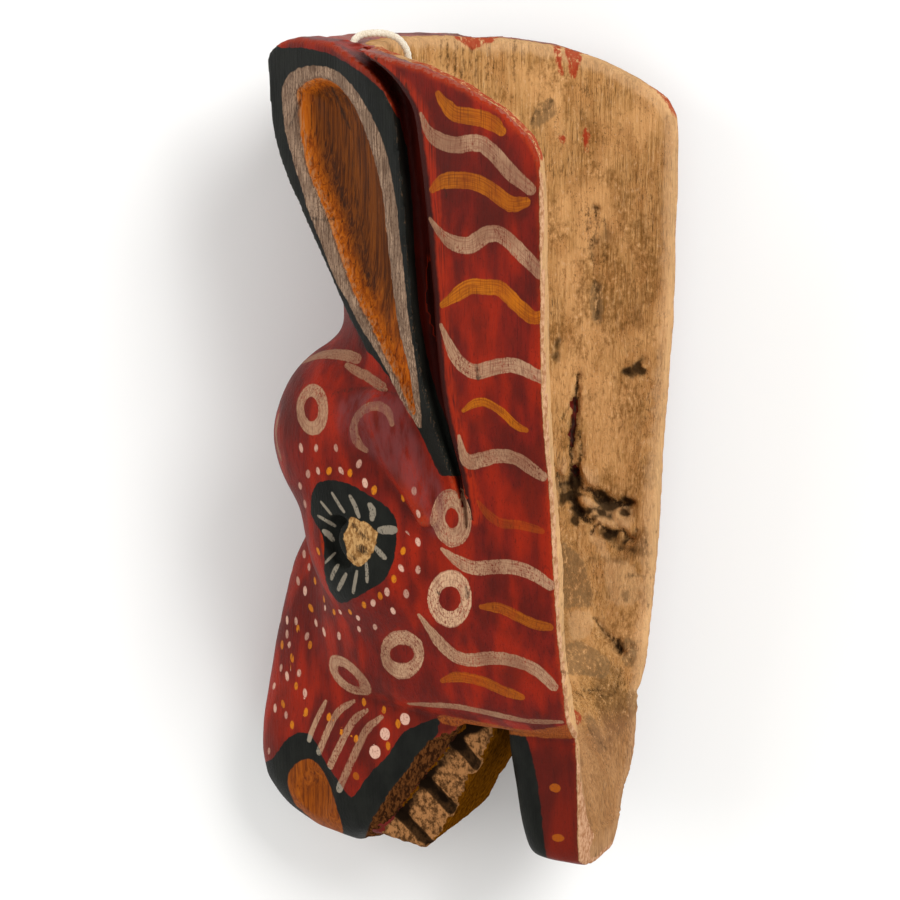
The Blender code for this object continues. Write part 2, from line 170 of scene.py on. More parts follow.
# =========================================================================
# Numbers and fields
# =========================================================================
def table(rows, z):
    """Smooth reading of a table of stations, with no overshoot, for an array z."""
    a = np.array(sorted(rows), float)
    x = a[:, 0]
    z = np.clip(np.asarray(z, float), x[0], x[-1])
    i = np.clip(np.searchsorted(x, z) - 1, 0, len(x) - 2)
    h = np.diff(x)
    t = (z - x[i]) / h[i]
    out = []
    for c in range(1, a.shape[1]):
        y = a[:, c]
        d = np.diff(y) / h
        m = np.zeros(len(x))
        m[0], m[-1] = d[0], d[-1]
        for k in range(1, len(d)):
            if d[k - 1] * d[k] > 0:
                m[k] = 2 * d[k - 1] * d[k] / (d[k - 1] + d[k])
        out.append((1 + 2 * t) * (1 - t) ** 2 * y[i] + t * (1 - t) ** 2 * h[i] * m[i]
                   + t * t * (3 - 2 * t) * y[i + 1] + t * t * (t - 1) * h[i] * m[i + 1])
    return out


def smin(a, b, k):
    h = np.clip(0.5 + 0.5 * (b - a) / k, 0, 1)
    return b + (a - b) * h - k * h * (1 - h)


def smax(a, b, k):
    return -smin(-a, -b, k)


def outline(u, v, pts):
    """Signed distance to a closed outline, negative inside."""
    pts = np.asarray(pts, float)
    u, v = np.broadcast_arrays(u, v)
    d = np.full(u.shape, 1e9)
    inside = np.zeros(u.shape, bool)
    for a, b in zip(pts, np.roll(pts, -1, 0)):
        e = b - a
        if e @ e < 1e-9:
            continue
        t = np.clip(((u - a[0]) * e[0] + (v - a[1]) * e[1]) / (e @ e), 0, 1)
        d = np.minimum(d, (u - a[0] - t * e[0]) ** 2 + (v - a[1] - t * e[1]) ** 2)
        if abs(e[1]) > 1e-9:
            inside ^= ((a[1] > v) != (b[1] > v)) & (u < a[0] + (v - a[1]) * e[0] / e[1])
    d = np.sqrt(d)
    return np.where(inside, -d, d)


def curve_through(pts, closed=False, n=6):
    """Smooth curve through points."""
    p = np.asarray(pts, float)
    out = []
    last = len(p) if closed else len(p) - 1
    for i in range(last):
        if closed:
            a, b, c, d = p[i - 1], p[i], p[(i + 1) % len(p)], p[(i + 2) % len(p)]
        else:
            a, b, c, d = p[max(i - 1, 0)], p[i], p[i + 1], p[min(i + 2, len(p) - 1)]
        for t in np.arange(n) / n:
            out.append(0.5 * (2 * b + (c - a) * t + (2 * a - 5 * b + 4 * c - d) * t * t
                              + (3 * b - a - 3 * c + d) * t ** 3))
    if not closed:
        out.append(p[-1])
    return np.array(out)


_rng = np.random.default_rng(SEED)
_LATTICE = _rng.random((32, 32, 32)).astype(np.float32)


def noise(p, size):
    """Smooth value noise, -1 to 1, with features about size millimetres (one number or three)."""
    q = np.asarray(p, float) / np.asarray(size, float) + 100.37
    i = np.floor(q).astype(int)
    f = q - i
    f = f * f * (3 - 2 * f)
    out = 0
    for a in (0, 1):
        for b in (0, 1):
            for c in (0, 1):
                w = ((f[..., 0] if a else 1 - f[..., 0]) * (f[..., 1] if b else 1 - f[..., 1])
                     * (f[..., 2] if c else 1 - f[..., 2]))
                out = out + w * _LATTICE[(i[..., 0] + a) % 32, (i[..., 1] + b) % 32, (i[..., 2] + c) % 32]
    return out * 2 - 1


def facets(p, size, seed=0, squeeze=(1, 1, 1)):
    """Flat-faced dimples like the marks of a gouge: distance to the nearest of scattered centres."""
    q = np.asarray(p, float) / (np.asarray(squeeze, float) * size)
    i = np.floor(q).astype(int)
    r = np.random.default_rng(seed).random((17, 17, 17, 3))
    best = np.full(q.shape[:-1], 9.0)
    for a in (-1, 0, 1):
        for b in (-1, 0, 1):
            for c in (-1, 0, 1):
                k = i + np.array((a, b, c))
                o = k + r[k[..., 0] % 17, k[..., 1] % 17, k[..., 2] % 17]
                best = np.minimum(best, ((q - o) ** 2).sum(-1))
    return np.sqrt(best)


# ---- grid -----------------------------------------------------------------
CELL = 1.45
LO = np.array((-92.0, -158.0, -176.0))
HI = np.array((92.0, 6.0, 178.0))
_n = np.ceil((HI - LO) / CELL).astype(int) + 1
GX, GY, GZ = (LO[k] + CELL * np.arange(_n[k]) for k in range(3))
X, Y, Z = (g.astype(np.float32) for g in (GX[:, None, None], GY[None, :, None], GZ[None, None, :]))
AX, AY = np.abs(X), np.abs(np.minimum(Y, 0))


def sectioned(rows):
    """Field of a body given by level sections, open towards the back."""
    w, d, a, b = (c[None, None, :].astype(np.float32) for c in table(rows, GZ))
    u, v = AX / w, AY / d
    g = u ** a + v ** b - 1
    slope = np.sqrt((a / w * np.maximum(u, 0.02) ** (a - 1)) ** 2 + (b / d * v ** (b - 1)) ** 2)
    f = g / np.maximum(slope, 0.55 / np.maximum(w, 20))
    low, high = min(r[0] for r in rows), max(r[0] for r in rows)
    return np.maximum(np.maximum(f, low - Z), Z - high)


def ball(c, r, turn=None):
    x, y, z = X - c[0], Y - c[1], Z - c[2]
    if turn is not None:
        m = np.array(Matrix.Rotation(math.radians(turn[1]), 3, turn[0])).T
        x, y, z = (m[k][0] * x + m[k][1] * y + m[k][2] * z for k in range(3))
    k0 = np.sqrt((x / r[0]) ** 2 + (y / r[1]) ** 2 + (z / r[2]) ** 2)
    k1 = np.sqrt((x / r[0] ** 2) ** 2 + (y / r[1] ** 2) ** 2 + (z / r[2] ** 2) ** 2) + 1e-6
    return k0 * (k0 - 1) / k1


def rod(a, b, r0, r1):
    a, b = np.array(a, float), np.array(b, float)
    e = b - a
    t = np.clip(((X - a[0]) * e[0] + (Y - a[1]) * e[1] + (Z - a[2]) * e[2]) / (e @ e), 0, 1)
    return np.sqrt((X - a[0] - t * e[0]) ** 2 + (Y - a[1] - t * e[1]) ** 2 + (Z - a[2] - t * e[2]) ** 2) \
        - (r0 + (r1 - r0) * t)


def ear_frame(side):
    """Position along the ear's face (t), out of it (n), and height on the ear."""
    x, y = GX[:, None] * side, GY[None, :]
    t = (x - EAR_FRONT[0]) * EAR_RUN[0] + (y - EAR_FRONT[1]) * EAR_RUN[1]
    n = (x - EAR_FRONT[0]) * EAR_OUT[0] + (y - EAR_FRONT[1]) * EAR_OUT[1]
    z = GZ if side > 0 else GZ + RIGHT_EAR_LOW * np.clip((GZ - 60) / 90, 0, 1)
    return t, n, z


def over_face(t, z, pts):
    """Distance to an outline on the ear's face, read for every (x, y) column."""
    lo, step = -60.0, 1.0
    ts = lo + step * np.arange(240)
    flat = outline(ts[:, None], z[None, :], pts).astype(np.float32)
    g = np.clip((t - lo) / step, 0, 238.99)
    i = g.astype(int)
    f = (g - i).astype(np.float32)[..., None]
    return flat[i] * (1 - f) + flat[i + 1] * f


def wall_half(y, z):
    w, d, a, b = table(HEAD, z)
    return w * (1 - np.minimum(1.0, np.abs(y) / d) ** b) ** (1 / a)


EAR_OUTLINE = [(r[1], r[0]) for r in EAR] + [(r[2], r[0]) for r in EAR[::-1]]
_front = curve_through([(r[1], r[0]) for r in EAR][1:], n=3)
_back = curve_through([(r[2], r[0]) for r in EAR][1:], n=3)
EAR_OUTLINE = np.concatenate((_front, _back[::-1]))
EAR_SINK = [(r[0], r[3]) for r in EAR]


def on_ear_face(points):
    """Picture points as places on the left ear's face: (t, z)."""
    out = []
    for px, py in points:
        o, d = sight(px, py)
        n0 = -3.0
        for _ in range(6):
            a = (o[0] - EAR_FRONT[0]) * EAR_OUT[0] + (o[1] - EAR_FRONT[1]) * EAR_OUT[1] - n0
            k = -a / (d[0] * EAR_OUT[0] + d[1] * EAR_OUT[1])
            q = o + k * np.asarray(d)
            n0 = float(table(EAR_SINK, np.array([q[2]]))[0][0])
        out.append(((q[0] - EAR_FRONT[0]) * EAR_RUN[0] + (q[1] - EAR_FRONT[1]) * EAR_RUN[1], q[2]))
    return out


SCOOP_LINE = curve_through(on_ear_face(SCOOP_SEEN), closed=True, n=3)
WHITE_LINE = curve_through(on_ear_face(WHITE_SEEN), closed=True, n=3)


def scoop_depth(inner):
    """How deep the ear's scoop is a distance in from its edge."""
    inner = np.maximum(inner, 0)
    return 9.0 * (1 - np.exp(-inner / 4.6)) + 0.6 * np.clip(inner / 1.2, 0, 1)


def build_field():
    head = sectioned(HEAD)
    muzzle = sectioned(MUZZLE)
    f = smin(head, muzzle, 9.0)
    for s in (-1, 1):
        brow = ball((s * 32, -86, 9), (31, 45.5, 43))
        f = smin(f, brow, 9.0)
        eye = ball((s * 38.5, -78, -29), (23, 36.5, 35))
        f = smin(f, eye, 11.0)
        # a low ridge from the root of the ear down to the cheek
        ridge = rod((s * 62, -75, 26), (s * 66, -54, -14), 6.5, 2.0)
        f = smin(f, ridge, 9.0)
    # mouth, its lip cut back at a slant, then teeth and jaw
    mouth = outline(GY[:, None], GZ[None, :], MOUTH)[None].astype(np.float32)
    slant = 7.0 * np.clip((-107 - Z) / 7, 0, 1)
    f = smax(f, (slant + f - mouth) * 0.7071, 0.9)
    f = smax(f, -mouth, 1.6)
    wedge = outline(GY[:, None], GZ[None, :], TEETH)[None].astype(np.float32)
    half = 25 + 6 * np.clip((Z + 163.5) / 65.5, 0, 1)
    teeth = smax(wedge, AX - half, 1.6)
    slots = np.full(np.broadcast_shapes(X.shape, Y.shape, Z.shape), 9.0, np.float32)
    for s in (-1, 1):
        for (y0, z0), (y1, z1), r in TOOTH_SLOTS:
            k0, k1 = (25 + 6 * (z + 163.5) / 65.5 for z in (z0, z1))
            slots = np.minimum(slots, rod((s * (k0 + 0.6), y0, z0), (s * (k1 + 0.4), y1, z1), r, r * 0.85))
    teeth = smax(teeth, -slots, 0.9)
    f = np.minimum(f, teeth)
    jaw = sectioned(JAW)
    a = math.radians(52)
    chin = (X + 23) * math.sin(a) * -1 + (Z + 143.5) * math.cos(a) * -1
    jaw = smax(jaw, chin, 3.0)
    f = smin(f, jaw, 1.2)
    # top edge of the wall
    edge = [(30, 117), (0.8, 117)] + [(-s, z) for s, z in TOP_EDGE] + [(-170, 166), (-170, 220), (30, 220)]
    top = outline(GY[:, None], GZ[None, :], edge).astype(np.float32)
    at = (Z - TOP_TILT * X / 75 * np.clip(-Y / 15, 0, 1) - LO[2]) / CELL
    at = np.clip(at, 0, len(GZ) - 1.001)
    i = at.astype(int)
    row = np.arange(len(GY))[None, :, None]
    top = top[row, i] * (1 - (at - i)) + top[row, i + 1] * (at - i)
    f = smax(f, -top, 1.8)
    # ears
    for s in (-1, 1):
        t, n, z = ear_frame(s)
        n0 = table(EAR_SINK, z)[0][None, None, :].astype(np.float32)
        face = over_face(t, z, EAR_OUTLINE)
        nn = n.astype(np.float32)[..., None]
        slab = smax(smax(face, nn - n0, 1.6), n0 - EAR_THICK - nn, 4.0)
        f = smin(f, slab, 1.2)
    hollow = sectioned(HOLLOW)
    f = smax(f, -hollow, 1.6)
    gaps = np.full_like(f, 30.0)
    for s in (-1, 1):
        t, n, z = ear_frame(s)
        nn = n.astype(np.float32)[..., None]
        n0 = table(EAR_SINK, z)[0][None, None, :].astype(np.float32)
        inner = -over_face(t, z, SCOOP_LINE)
        cut = (n0 - scoop_depth(inner)) - nn
        cut = np.maximum(cut, -inner)
        cut = np.maximum(cut, -nn - 20)
        f = smax(f, -cut, 0.8)
        # gap behind the ear
        t1, m0 = table([(r[0], r[2], r[3]) for r in EAR], GZ)
        k = np.clip((GZ + 16) / 90, 0, 1) ** 0.8
        ex = EAR_FRONT[0] + EAR_RUN[0] * (t1 + 0.2) + EAR_OUT[0] * m0
        ey = EAR_FRONT[1] + EAR_RUN[1] * (t1 + 0.2) + EAR_OUT[1] * m0
        wide, deep = 1.2 + 8.8 * k, 2.0 + 8.0 * k
        ly = ey + wide
        lx = wall_half(ly, GZ)
        ax, ay = np.maximum(ex, lx) + 7, (ey + ly) / 2 + 0.8
        bx, by = np.minimum(ex, lx) - deep, ey + 0.1 * wide
        r0, r1 = wide / 2, 0.35 * wide
        c = [v[None, None, :].astype(np.float32) for v in (ax, ay, bx, by, r0, r1)]
        exx, eyy = c[2] - c[0], c[3] - c[1]
        sx = X * s
        tt = np.clip(((sx - c[0]) * exx + (Y - c[1]) * eyy) / (exx ** 2 + eyy ** 2), 0, 1)
        gap = np.sqrt((sx - c[0] - tt * exx) ** 2 + (Y - c[1] - tt * eyy) ** 2) - (c[4] + (c[5] - c[4]) * tt)
        gap = np.maximum(gap, -17 - Z)
        gap = np.maximum(gap, 2.6 - hollow)
        gaps = np.minimum(gaps, gap)
        f = smax(f, -gap, 1.0)
        # eye: a round socket, chopped roughly and left high towards the back,
        # with a slit through at its front
        socket = ball((s * 60.5, -93.5, -28.5), (9.0, 8.6, 11.5))
        lump = ball((s * 57.5, -86.0, -27.5), (7.5, 7.0, 9.0))
        f = smax(f, -smax(socket, -lump, 1.0), 0.8)
        slit = rod((s * 60, -99.5, -25), (s * 28, -56, -27), 2.6, 3.6)
        slit = smin(slit, rod((s * 60, -98.5, -33), (s * 30, -57, -30), 2.0, 3.2), 2.0)
        f = smax(f, -slit, 0.6)
        nostril = ball((s * 35.5, -121, -149), (11, 12, 21), ("X", -24))
        f = smax(f, -nostril, 1.4)
    # the string's hole
    a, b = np.array(CORD_RUN[0]), np.array(CORD_RUN[2])
    d = (b - a) / np.linalg.norm(b - a)
    f = smax(f, -rod(a - 3 * d, b + 12 * d, CORD_HOLE / 2, CORD_HOLE / 2), 0.4)
    f = smax(f, -rod(a - 0.5 * d, HOLE_INSIDE, CORD_HOLE / 2, CORD_HOLE / 2), 0.4)
    c = CORD_RUN[4]
    f = smax(f, -ball((c[0] + 1.6, c[1] - 0.4, c[2] + 0.6), (4.4, 4.0, 4.2)), 0.8)
    f = smax(f, np.broadcast_to(Y, f.shape), 0.9)
    # the side it lies on
    up = LIE_ROT[2]
    low = -(X * up[0] + Y * up[1] + Z * up[2] + LIE_SHIFT[2])
    f = np.maximum(f, low + 0.05)
    return f.astype(np.float32), hollow, teeth, slots, gaps


FIELD, F_HOLLOW, F_TEETH, F_SLOTS, F_GAP = build_field()


def surface_nets(f):
    """Quads around the zero of a field on the grid, and their points."""
    inside = f < 0
    cells = tuple(s - 1 for s in f.shape)
    total = np.zeros(cells + (3,), np.float32)
    count = np.zeros(cells, np.float32)
    edges = []
    for ax in range(3):
        a, b = [slice(None)] * 3, [slice(None)] * 3
        a[ax], b[ax] = slice(0, -1), slice(1, None)
        a, b = tuple(a), tuple(b)
        cross = inside[a] != inside[b]
        at = np.argwhere(cross)
        p = at.astype(np.float32)
        fa, fb = f[a][cross], f[b][cross]
        p[:, ax] += fa / (fa - fb)
        o1, o2 = [(1, 2), (2, 0), (0, 1)][ax]
        ok = (at[:, o1] > 0) & (at[:, o2] > 0) & (at[:, o1] < f.shape[o1] - 1) & (at[:, o2] < f.shape[o2] - 1)
        for d1 in (0, -1):
            for d2 in (0, -1):
                c = at.copy()
                c[:, o1] += d1
                c[:, o2] += d2
                m = (c >= 0).all(1) & (c < np.array(cells)).all(1)
                np.add.at(total, tuple(c[m].T), p[m])
                np.add.at(count, tuple(c[m].T), 1)
        edges.append((at[ok], inside[a][cross][ok], o1, o2))
    live = count > 0
    index = -np.ones(cells, np.int64)
    index[live] = np.arange(live.sum())
    verts = total[live] / count[live][:, None] * CELL + LO
    quads = []
    for at, flip, o1, o2 in edges:
        q = []
        for d1, d2 in ((0, 0), (-1, 0), (-1, -1), (0, -1)):
            c = at.copy()
            c[:, o1] += d1
            c[:, o2] += d2
            q.append(index[tuple(c.T)])
        q = np.stack(q, 1)
        q[~flip] = q[~flip][:, ::-1]
        quads.append(q)
    return verts.astype(float), np.concatenate(quads)


def read(f, p):
    """The field between the grid's points."""
    g = np.clip((p - LO) / CELL, 0, np.array(f.shape) - 1.001)
    i = g.astype(int)
    d = g - i
    out = 0
    for a in (0, 1):
        for b in (0, 1):
            for c in (0, 1):
                w = ((d[:, 0] if a else 1 - d[:, 0]) * (d[:, 1] if b else 1 - d[:, 1])
                     * (d[:, 2] if c else 1 - d[:, 2]))
                out = out + w * f[i[:, 0] + a, i[:, 1] + b, i[:, 2] + c]
    return out


def slope(f, p, e=0.7):
    return np.stack([read(f, p + d) - read(f, p - d) for d in np.eye(3) * e], 1) / (2 * e)


def make_mesh(name, verts, faces):
    me = bpy.data.meshes.new(name)
    me.vertices.add(len(verts))
    me.vertices.foreach_set("co", np.asarray(verts, np.float32).ravel())
    k = faces.shape[1]
    me.loops.add(len(faces) * k)
    me.loops.foreach_set("vertex_index", np.asarray(faces, np.int32).ravel())
    me.polygons.add(len(faces))
    me.polygons.foreach_set("loop_start", np.arange(0, len(faces) * k, k, dtype=np.int32))
    me.update(calc_edges=True)
    me.validate()
    return me


def points_of(me):
    co = np.zeros(len(me.vertices) * 3, np.float32)
    me.vertices.foreach_get("co", co)
    return co.reshape(-1, 3).astype(float)


def normals_of(me):
    no = np.zeros(len(me.vertices) * 3, np.float32)
    me.vertex_normals.foreach_get("vector", no)
    return no.reshape(-1, 3).astype(float)


# Scars in the hollow, by their place in the picture: line, width in pixels at
# its ends, and depth in millimetres
SCARS = [
    ([(578, 375), (576, 395), (574, 415), (572, 440), (571, 462), (572, 487)], (3, 8), 2.0),
    ([(580, 432), (581, 450), (578, 470)], (3, 4), 1.2),
    ([(573, 402), (567, 410), (562, 418)], (2.5, 2), 0.7),
    ([(575, 468), (583, 488), (593, 491), (600, 500), (612, 499), (622, 505), (631, 503)], (7, 6), 1.9),
    ([(571, 497), (578, 510), (584, 518), (590, 521)], (7, 7), 1.9),
    ([(592, 533), (598, 524), (606, 530), (612, 533), (622, 530), (628, 538), (633, 542)], (3, 5), 1.5),
    ([(557, 473), (562, 492)], (4, 5), 1.0),
    ([(594, 618), (603, 630), (613, 640), (620, 651)], (3, 4), 1.2),
    ([(618, 640), (622, 653)], (5, 4), 1.2),
    ([(589, 210), (587, 225), (590, 245), (593, 262), (595, 290)], (3, 2), 0.9),
    ([(595, 208), (597, 225), (592, 245)], (2.5, 2), 0.7),
    ([(604, 215), (606, 240), (604, 262)], (2, 1.5), 0.5),
    ([(596, 285), (597, 318)], (5, 5), 0.5),
    ([(583, 690), (590, 691), (600, 690)], (3, 3), 0.7),
]


ROUGH = [
    [(556, 466), (570, 458), (586, 484), (612, 494), (634, 498), (637, 548), (616, 552), (597, 530), (574, 524), (560, 502)],
    [(618, 378), (628, 362), (643, 348), (648, 362), (646, 380)], [(550, 334), (564, 338), (563, 364), (551, 362)],
    [(596, 640), (612, 644), (624, 640), (637, 644), (634, 664), (614, 658)], [(588, 205), (603, 208), (600, 250), (590, 246)],
]


def chips(p):
    """The torn wood across the middle of the hollow, as a height."""
    return 0.95 * noise(p, (4.2, 4.2, 2.8)) + 0.6 * noise(p, (2.3, 2.3, 1.9))


def torn(p):
    """How much of a place lies in the torn patch."""
    w = p.copy()
    w[:, 0] = -np.abs(w[:, 0])
    q = project(w)
    d = np.maximum.reduce([-outline(q[:, 0], q[:, 1], curve_through(r, True, 3)) / 2.46 - (1.2 if k else 0)
                           for k, r in enumerate(ROUGH)])
    return np.clip(0.5 + (d + 1.2 * noise(p, 5)) / 3.0, 0, 1)


def near_line(p, line, width):
    """Distance of points to a line less its half width, which changes along it."""
    best = np.full(len(p), 1e3)
    w = np.linspace(width[0], width[1], len(line))
    for k in range(len(line) - 1):
        a, e = line[k], line[k + 1] - line[k]
        t = np.clip((p - a) @ e / max(e @ e, 1e-9), 0, 1)
        d = np.linalg.norm(p - a - t[:, None] * e, axis=1)
        best = np.minimum(best, d - (w[k] + (w[k + 1] - w[k]) * t))
    return best


def carve():
    v, q = surface_nets(FIELD)
    for _ in range(3):
        f, g = read(FIELD, v), slope(FIELD, v)
        v = v - np.clip(f / np.maximum((g * g).sum(1), 0.1), -0.6, 0.6)[:, None] * g
    me = make_mesh("carving", v, q)
    n = normals_of(me)
    tree = BVHTree.FromPolygons([tuple(c) for c in v], [tuple(c) for c in q])
    # tool marks: broad facets outside, gouge strokes in the hollow, a chopped
    # patch across it, and a little unevenness everywhere
    hollow = read(F_HOLLOW, v)
    in_hollow = np.clip(1 - hollow / 2.5, 0, 1) * ((n * slope(F_HOLLOW, v)).sum(1) < 0)
    x, y, z = v.T
    push = 0.20 * noise(v, (9, 9, 16)) + 0.10 * noise(v, (3.5, 3.5, 7))
    push += (1 - in_hollow) * 0.55 * (np.minimum(facets(v, 15, 3, (1, 1, 1.7)), 0.9) - 0.5)
    gouge = np.minimum(facets(v, 12, 5, (1, 1, 2.2)), 0.95)
    big = np.minimum(facets(v, 21, 9, (1, 1, 1.3)), 0.95)
    low = np.clip((-18 - z) / 12, 0, 1)
    push += in_hollow * ((1 - low) * (0.55 * gouge - 0.25) + low * (2.6 * big - 1.3))
    push += in_hollow * (0.16 * noise(v, (1.9, 1.9, 6)) + 0.12 * noise(v, (1.6, 1.6, 1.6)))
    push += in_hollow * (torn(v) * (1.7 * chips(v) - 0.6) + 0.25 * noise(v, (5, 5, 9)))
    # where the wall is thin behind the ears, the marks are shallow
    push *= np.clip((read(F_GAP, v) - 1.0) / 6, 0.1, 1)
    for line, width, deep in SCARS:
        hits = [tree.ray_cast(Vector(o), Vector(d))[0] for o, d in (sight(*c) for c in line)]
        hits = np.array([h for h in hits if h is not None])
        if len(hits) < 2:
            continue
        for side in (1, -1):
            c = hits * np.array((side, 1, 1)) + (0, 0 if side > 0 else 2.5, 0 if side > 0 else 4)
            near = np.where(np.linalg.norm(v - c.mean(0), axis=1) < 60)[0]
            d = near_line(v[near], c, (width[0] / 5.2, width[1] / 5.2)) + 1.0 * noise(v[near], (2.2, 2.2, 3.4))
            push[near] -= 1.2 * deep * np.clip(0.75 - d / 1.5, 0, 1) * (in_hollow[near] > 0.2)
    tooth = np.clip(1 - np.abs(read(F_TEETH, v)) / 0.8, 0, 1) * (y > -110) * (z < -100)
    push += tooth * (0.35 * noise(v, (3.2, 3.2, 3.2)) + 0.25 * noise(v, (1.8, 1.8, 1.8)))
    # the eye is left as it was chopped
    eye = np.exp(-((np.abs(x) - 58) ** 2 + (y + 87) ** 2 + (z + 27.5) ** 2) / 60) * (np.abs(x) > 30)
    chop = facets(v, 5.5, 21)
    push += eye * (2.3 * np.minimum(chop, 0.9) - 1.2 + 0.4 * noise(v, 1.9))
    # edges of the rim are worn a little wavy
    rim = np.clip(1 - np.abs(y) / 2.0, 0, 1)
    push -= rim * 0.35 * np.maximum(0, noise(v, (20, 20, 14)))
    v = v + n * push[:, None]
    world_z = v @ LIE_ROT[2] + LIE_SHIFT[2]
    v = v + np.outer(np.maximum(0, 0.05 - world_z), LIE_ROT[2])
    me.vertices.foreach_set("co", v.astype(np.float32).ravel())
    me.update()
    ob = bpy.data.objects.new("carving", me)
    bpy.context.scene.collection.objects.link(ob)
    tri = ob.modifiers.new("tri", "TRIANGULATE")
    tri.quad_method = "SHORTEST_DIAGONAL"
    dec = ob.modifiers.new("thin", "DECIMATE")
    dec.ratio = min(1.0, 186000 / (2 * len(q)))
    deps = bpy.context.evaluated_depsgraph_get()
    out = bpy.data.meshes.new_from_object(ob.evaluated_get(deps))
    bpy.data.objects.remove(ob)
    return out


carved = carve()
V = points_of(carved)
N = normals_of(carved)
TREE = BVHTree.FromPolygons([tuple(p) for p in V], [tuple(f.vertices) for f in carved.polygons])
print("carving", len(V), "points", len(carved.polygons), "faces")


# =========================================================================
# Paint.  Every mark has its place in the photograph's picture, and is laid
# on the carved surface from there.  The right side repeats the left.
# =========================================================================
def on_surface(px, py, deepest=None):
    o, d = sight(px, py)
    hit = TREE.ray_cast(Vector(o), Vector(d))
    if hit[0] is None:
        return None
    return np.array(hit[0])


marks = []


def add_mark(points, half, kind, tone=0.5, closed=False):
    """A brush mark through surface points, with its half width at each."""
    points = np.asarray(points, float)
    half = np.broadcast_to(np.asarray(half, float), (len(points),)).copy()
    marks.append({"p": points, "w": half, "kind": kind, "tone": tone, "closed": closed})


def lay(points):
    """Drops picture points on the surface, leaving out those that miss it."""
    out = []
    for px, py in points:
        q = on_surface(px, py)
        if q is not None:
            out.append(q)
    out = np.array(out)
    keep = [0]
    for k in range(1, len(out)):
        if np.linalg.norm(out[k] - out[keep[-1]]) < 12:
            keep.append(k)
    return out[keep]


def brush(points, width, kind, tone=0.5, start=0.35, end=0.8, closed=False):
    """A stroke by its middle line in picture pixels and its full width there."""
    line = curve_through(points, closed, 6)
    p = lay(line)
    if len(p) < 2:
        return
    s = np.linspace(0, 1, len(p))
    w = np.full(len(p), width / 2 / 2.46)
    if not closed:
        w *= np.minimum(1, start + (1 - start) * np.clip(s / 0.22, 0, 1))
        w *= np.minimum(1, end + (1 - end) * np.clip((1 - s) / 0.15, 0, 1))
    add_mark(p, w, kind, tone, closed)


rings = []


def ring(px, py, rx, ry, hx, hy, tone=0.5, lean=0):
    """A ring in picture pixels: outer and inner half axes, leaning by an angle."""
    c = on_surface(px, py)
    n = np.array(TREE.find_nearest(Vector(c))[1])
    t = math.radians(lean)
    mx, my = (rx + hx) / 2, (ry + hy) / 2
    a = [on_surface(px + k * mx * math.cos(t), py + k * mx * math.sin(t)) for k in (-1, 1)]
    b = [on_surface(px - k * my * math.sin(t), py + k * my * math.cos(t)) for k in (-1, 1)]
    rings.append({"c": c, "n": n, "u": (a[1] - a[0]) / 2, "v": (b[1] - b[0]) / 2,
                  "wu": (rx - hx) / (rx + hx), "wv": (ry - hy) / (ry + hy), "tone": tone})


_dots = np.random.default_rng(5)


dots = []


def dab(px, py, kind, r=2.6, long=1.7, tone=0.6, lean=None):
    """A small dab of the brush, longer than it is wide."""
    a = math.radians(90 + (_dots.normal(0, 12) if lean is None else lean))
    c, e = on_surface(px, py), on_surface(px + 3 * math.cos(a), py + 3 * math.sin(a))
    if c is None or e is None:
        return
    n = np.array(TREE.find_nearest(Vector(c))[1])
    add_dot(c, e - c, n, r / 2.46 * _dots.uniform(0.88, 1.12), long, kind, tone + _dots.uniform(-0.25, 0.2))


def add_dot(c, along, n, r, long, kind, tone):
    u = along - n * (along @ n)
    u /= np.linalg.norm(u)
    dots.append({"c": c, "n": n, "u": u, "v": np.cross(n, u), "r": r, "long": long, "kind": kind, "tone": tone})


# stripes on the side wall
WHITE_STRIPES = [
    ([(421, 114), (428, 131), (440, 141), (456, 145), (479, 143), (495, 155), (511, 173), (530, 189)], 16),
    ([(430, 219), (442, 235), (456, 244), (471, 245), (485, 235), (499, 234), (511, 243), (526, 258), (540, 273)], 16),
    ([(441, 325), (448, 342), (456, 358), (466, 368), (477, 372), (491, 368), (511, 365), (526, 370), (542, 378)], 15),
    ([(459, 436), (463, 454), (469, 462), (481, 460), (497, 456), (515, 458), (530, 468), (542, 476)], 15),
    ([(442, 549), (456, 560), (474, 568), (493, 567), (511, 567), (529, 572), (550, 585)], 15),
    ([(419, 615), (431, 631), (442, 645), (456, 657), (472, 660), (493, 658), (515, 661), (536, 670), (553, 686)], 15),
]
YELLOW_STRIPES = [
    ([(438, 94), (446, 106), (456, 114), (475, 117), (491, 122), (501, 131)], 16),
    ([(432, 190), (442, 182), (462, 180), (481, 184), (499, 196), (511, 204), (526, 202)], 16),
    ([(442, 305), (454, 297), (469, 287), (485, 287), (501, 289), (515, 303), (532, 317), (542, 315)], 15),
    ([(463, 411), (475, 403), (487, 403), (503, 413), (515, 425), (526, 430)], 9),
    ([(478, 502), (489, 515), (501, 523), (520, 525), (542, 531)], 10),
    ([(481, 607), (499, 608), (515, 615), (534, 624), (550, 627)], 12),
    ([(442, 681), (458, 677), (481, 681), (504, 691), (522, 697)], 12),
]
for pts, w in WHITE_STRIPES:
    brush(pts, w, "white", 0.5, 0.25, 0.75)
brush([(409, 704), (431, 705), (458, 707), (493, 714), (527, 721), (562, 722)], 8, "white", 0.35, 0.6, 0.5)
for k, (pts, w) in enumerate(YELLOW_STRIPES):
    brush(pts, w, "yellow", (0.75, 0.7, 0.95, 0.8, 0.3, 0.55, 0.55)[k], 0.4, 0.6)
